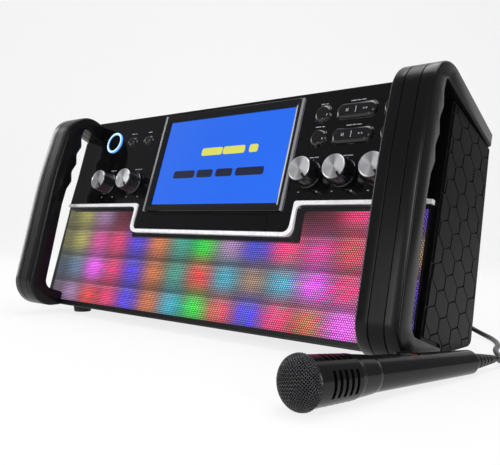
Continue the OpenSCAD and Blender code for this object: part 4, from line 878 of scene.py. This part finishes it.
def draped(a, b, lift):
    s, turn = math.hypot(a, b), math.atan2(b, a)
    if s > arc[-1]:
        return None
    i = max(1, next(k for k, value in enumerate(arc) if value >= s))
    f = (s - arc[i - 1]) / (arc[i] - arc[i - 1])
    (r0, y0), (r1, y1) = dome_points[i - 1], dome_points[i]
    slope = math.hypot(r1 - r0, y1 - y0)
    r = r0 + f * (r1 - r0) + lift * (y0 - y1) / slope
    y = y0 + f * (y1 - y0) - lift * (r1 - r0) / slope
    return Vector((r * math.cos(turn), y, r * math.sin(turn)))


core = [(max(0.0, r - 0.9), y + 0.9) for r, y in dome_points[::6]] + [(0, COLLAR_Y)]
FOAM = grained("mic_foam", (0.004, 0.004, 0.004), 0.9, grain=1.0, depth=0.6, spec=0.1)
turned("mic_foam", core, MIC, "machine", FOAM, sides=64, replaces=("mic_head",))
WIRE = grained("mic_wire", (0.05, 0.05, 0.053), 0.32, grain=0.6, depth=0.05, metal=0.8)
CELL, WIRE_R, WIRE_SIDES = 1.35, 0.27, 5
c, s = math.cos(math.pi / 4 + 0.2), math.sin(math.pi / 4 + 0.2)
reach = int(arc[-1] / CELL) + 1
verts, faces = [], []
for family in (0, 1):
    for i in range(-reach, reach + 1):
        strand = []
        for j in range(-2 * reach, 2 * reach + 1):
            a, b = i * CELL, j * CELL / 2
            lift = -0.42 + (0.2 * (-1) ** (i + j // 2 + family) if j % 2 == 0 else 0.0)
            if family:
                a, b = b, a
            p = draped(a * c - b * s, a * s + b * c, lift)
            if p is not None:
                strand.append(p)
        if len(strand) < 3:
            continue
        for n, p in enumerate(strand):
            way = unit(strand[min(n + 1, len(strand) - 1)] - strand[max(n - 1, 0)])
            across = unit(way.cross(Vector((p.x, p.y - 6, p.z))))
            out = way.cross(across)
            for k in range(WIRE_SIDES):
                turn = 2 * math.pi * k / WIRE_SIDES
                verts.append(p + WIRE_R * (math.cos(turn) * across + math.sin(turn) * out))
            if n:
                base = len(verts) - 2 * WIRE_SIDES
                faces += [tuple(base + f for f in face) for face in bands(WIRE_SIDES, 2)]
basket = thing("mic_basket", verts, faces, MIC, "machine", WIRE)
basket.modifiers.clear()
rim = [(0.9, -3.2), (0.1, -3.1), (0.02, -2.6), (0.1, -2.0), (0.9, -1.95)]
turned("mic_rim", [(MIC_R - less, y) for less, y in rim], MIC, "machine", WIRE)

# Red-brown floor of the switch's recess, a painted reflection standing for the red-brown glints at the
# slider's ends, and the small screw cap near the tail
PAINTED_GLINT_RED = grained("recess_floor", (0.11, 0.02, 0.012), 0.4, grain=0.6, depth=0.1)
place = MIC @ Matrix.Translation((0, 79, body_r(68) - 1.8)) @ Matrix.Rotation(-math.pi / 2, 4, "X")
plate("mic_recess_floor", rounded(7.5, 21.5, 3.7, 6), -0.12, 0.3, place, "machine", PAINTED_GLINT_RED)
place = MIC @ Matrix.Translation((0, 124, body_r(124))) @ Matrix.Rotation(math.pi / 2, 4, "X")
turned("mic_cap", [(1.9, -0.5), (1.9, 0.25), (1.6, 0.5), (0, 0.55)], place, "machine", MIC_MATTE, sides=32)

# Floor, lamps and camera

SEEN_WHITE = 0.8


# A pale floor and backdrop that the camera, metal and glass see nearly white, and that keep a soft shadow
def floor_material():
    mat = plain("floor", (0.8, 0.8, 0.8), 0.6)
    nodes, links = nodes_of(mat)
    shader = nodes["Principled BSDF"]
    white = add(nodes, "ShaderNodeEmission", Strength=1.0)
    path = add(nodes, "ShaderNodeLightPath")
    seen = add(nodes, "ShaderNodeMath", operation="ADD")
    links.new(path.outputs["Is Camera Ray"], seen.inputs[0])
    links.new(path.outputs["Is Glossy Ray"], seen.inputs[1])
    more = add(nodes, "ShaderNodeMath", operation="ADD")
    links.new(seen.outputs[0], more.inputs[0])
    links.new(path.outputs["Is Transmission Ray"], more.inputs[1])
    share = add(nodes, "ShaderNodeMath", operation="MULTIPLY")
    share.use_clamp = True
    share.inputs[1].default_value = SEEN_WHITE
    links.new(more.outputs[0], share.inputs[0])
    both = add(nodes, "ShaderNodeMixShader")
    links.new(share.outputs[0], both.inputs[0])
    links.new(shader.outputs[0], both.inputs[1])
    links.new(white.outputs[0], both.inputs[2])
    links.new(both.outputs[0], nodes["Material Output"].inputs["Surface"])
    return mat


SWEEP_SIDE, SWEEP_FRONT, SWEEP_STEPS = 3.0, 2.4, 14
bend = [math.pi / 2 * i / SWEEP_STEPS for i in range(SWEEP_STEPS + 1)]
profile = [(-SWEEP_FRONT, 0.0)] + [(1.2 + 0.5 * math.sin(a), 0.5 - 0.5 * math.cos(a)) for a in bend]
profile += [(1.7, 3.0)]
turn = Matrix.Rotation(math.radians(40), 4, "Z")
verts = [turn @ Vector((x, y, z - 0.0004)) for x in (-SWEEP_SIDE, SWEEP_SIDE) for y, z in profile]
k = len(profile)
mesh = bpy.data.meshes.new("backdrop")
mesh.from_pydata([tuple(v) for v in verts], [], [(i, i + 1, k + i + 1, k + i) for i in range(k - 1)])
mesh.shade_smooth()
mesh.materials.append(floor_material())
linked("backdrop", mesh)


def lamp(name, place, target, size, power):
    data = bpy.data.lights.new(name, "AREA")
    data.shape, data.size, data.size_y, data.energy = "RECTANGLE", size[0], size[1], power
    obj = linked(name, data)
    obj.location = place
    obj.rotation_euler = (Vector(target) - Vector(place)).to_track_quat("-Z", "Y").to_euler()


lamp("top_box", (0.1, 0.25, 1.3), (0, 0, 0.1), (1.2, 0.8), 13)
lamp("left_box", (-1.35, -0.15, 0.45), (0, 0, 0.12), (0.4, 0.8), 6)
lamp("right_strip", (1.25, -0.55, 0.35), (0.1, 0, 0.1), (0.14, 0.9), 6)
lamp("front_box", (0.35, -1.35, 0.8), (0, 0, 0.1), (0.5, 0.4), 9)
lamp("front_strip", (-0.5, -1.5, 0.3), (0.1, 0, 0.15), (0.12, 0.8), 4)
world = bpy.data.worlds.new("world")
bpy.context.scene.world = world
world.use_nodes = True
sky = world.node_tree.nodes["Background"]
sky.inputs["Color"].default_value = (0.95, 0.96, 1.0, 1)
sky.inputs["Strength"].default_value = 0.3

camera = bpy.data.cameras.new("camera")
camera.lens, camera.sensor_width, camera.clip_start = 46.8, 36, 0.01
view = linked("camera", camera)
right, up = Vector((0.7607, 0.649, 0.0126)), Vector((-0.0193, 0.0033, 0.9998))
back = Vector((0.6489, -0.7608, 0.015))
turned_view = Matrix((right, up, back)).transposed().to_4x4()
view.matrix_world = Matrix.Translation((0.38876, -0.41988, 0.096)) @ turned_view
bpy.context.scene.camera = view
bpy.context.scene.view_settings.view_transform = "Standard"
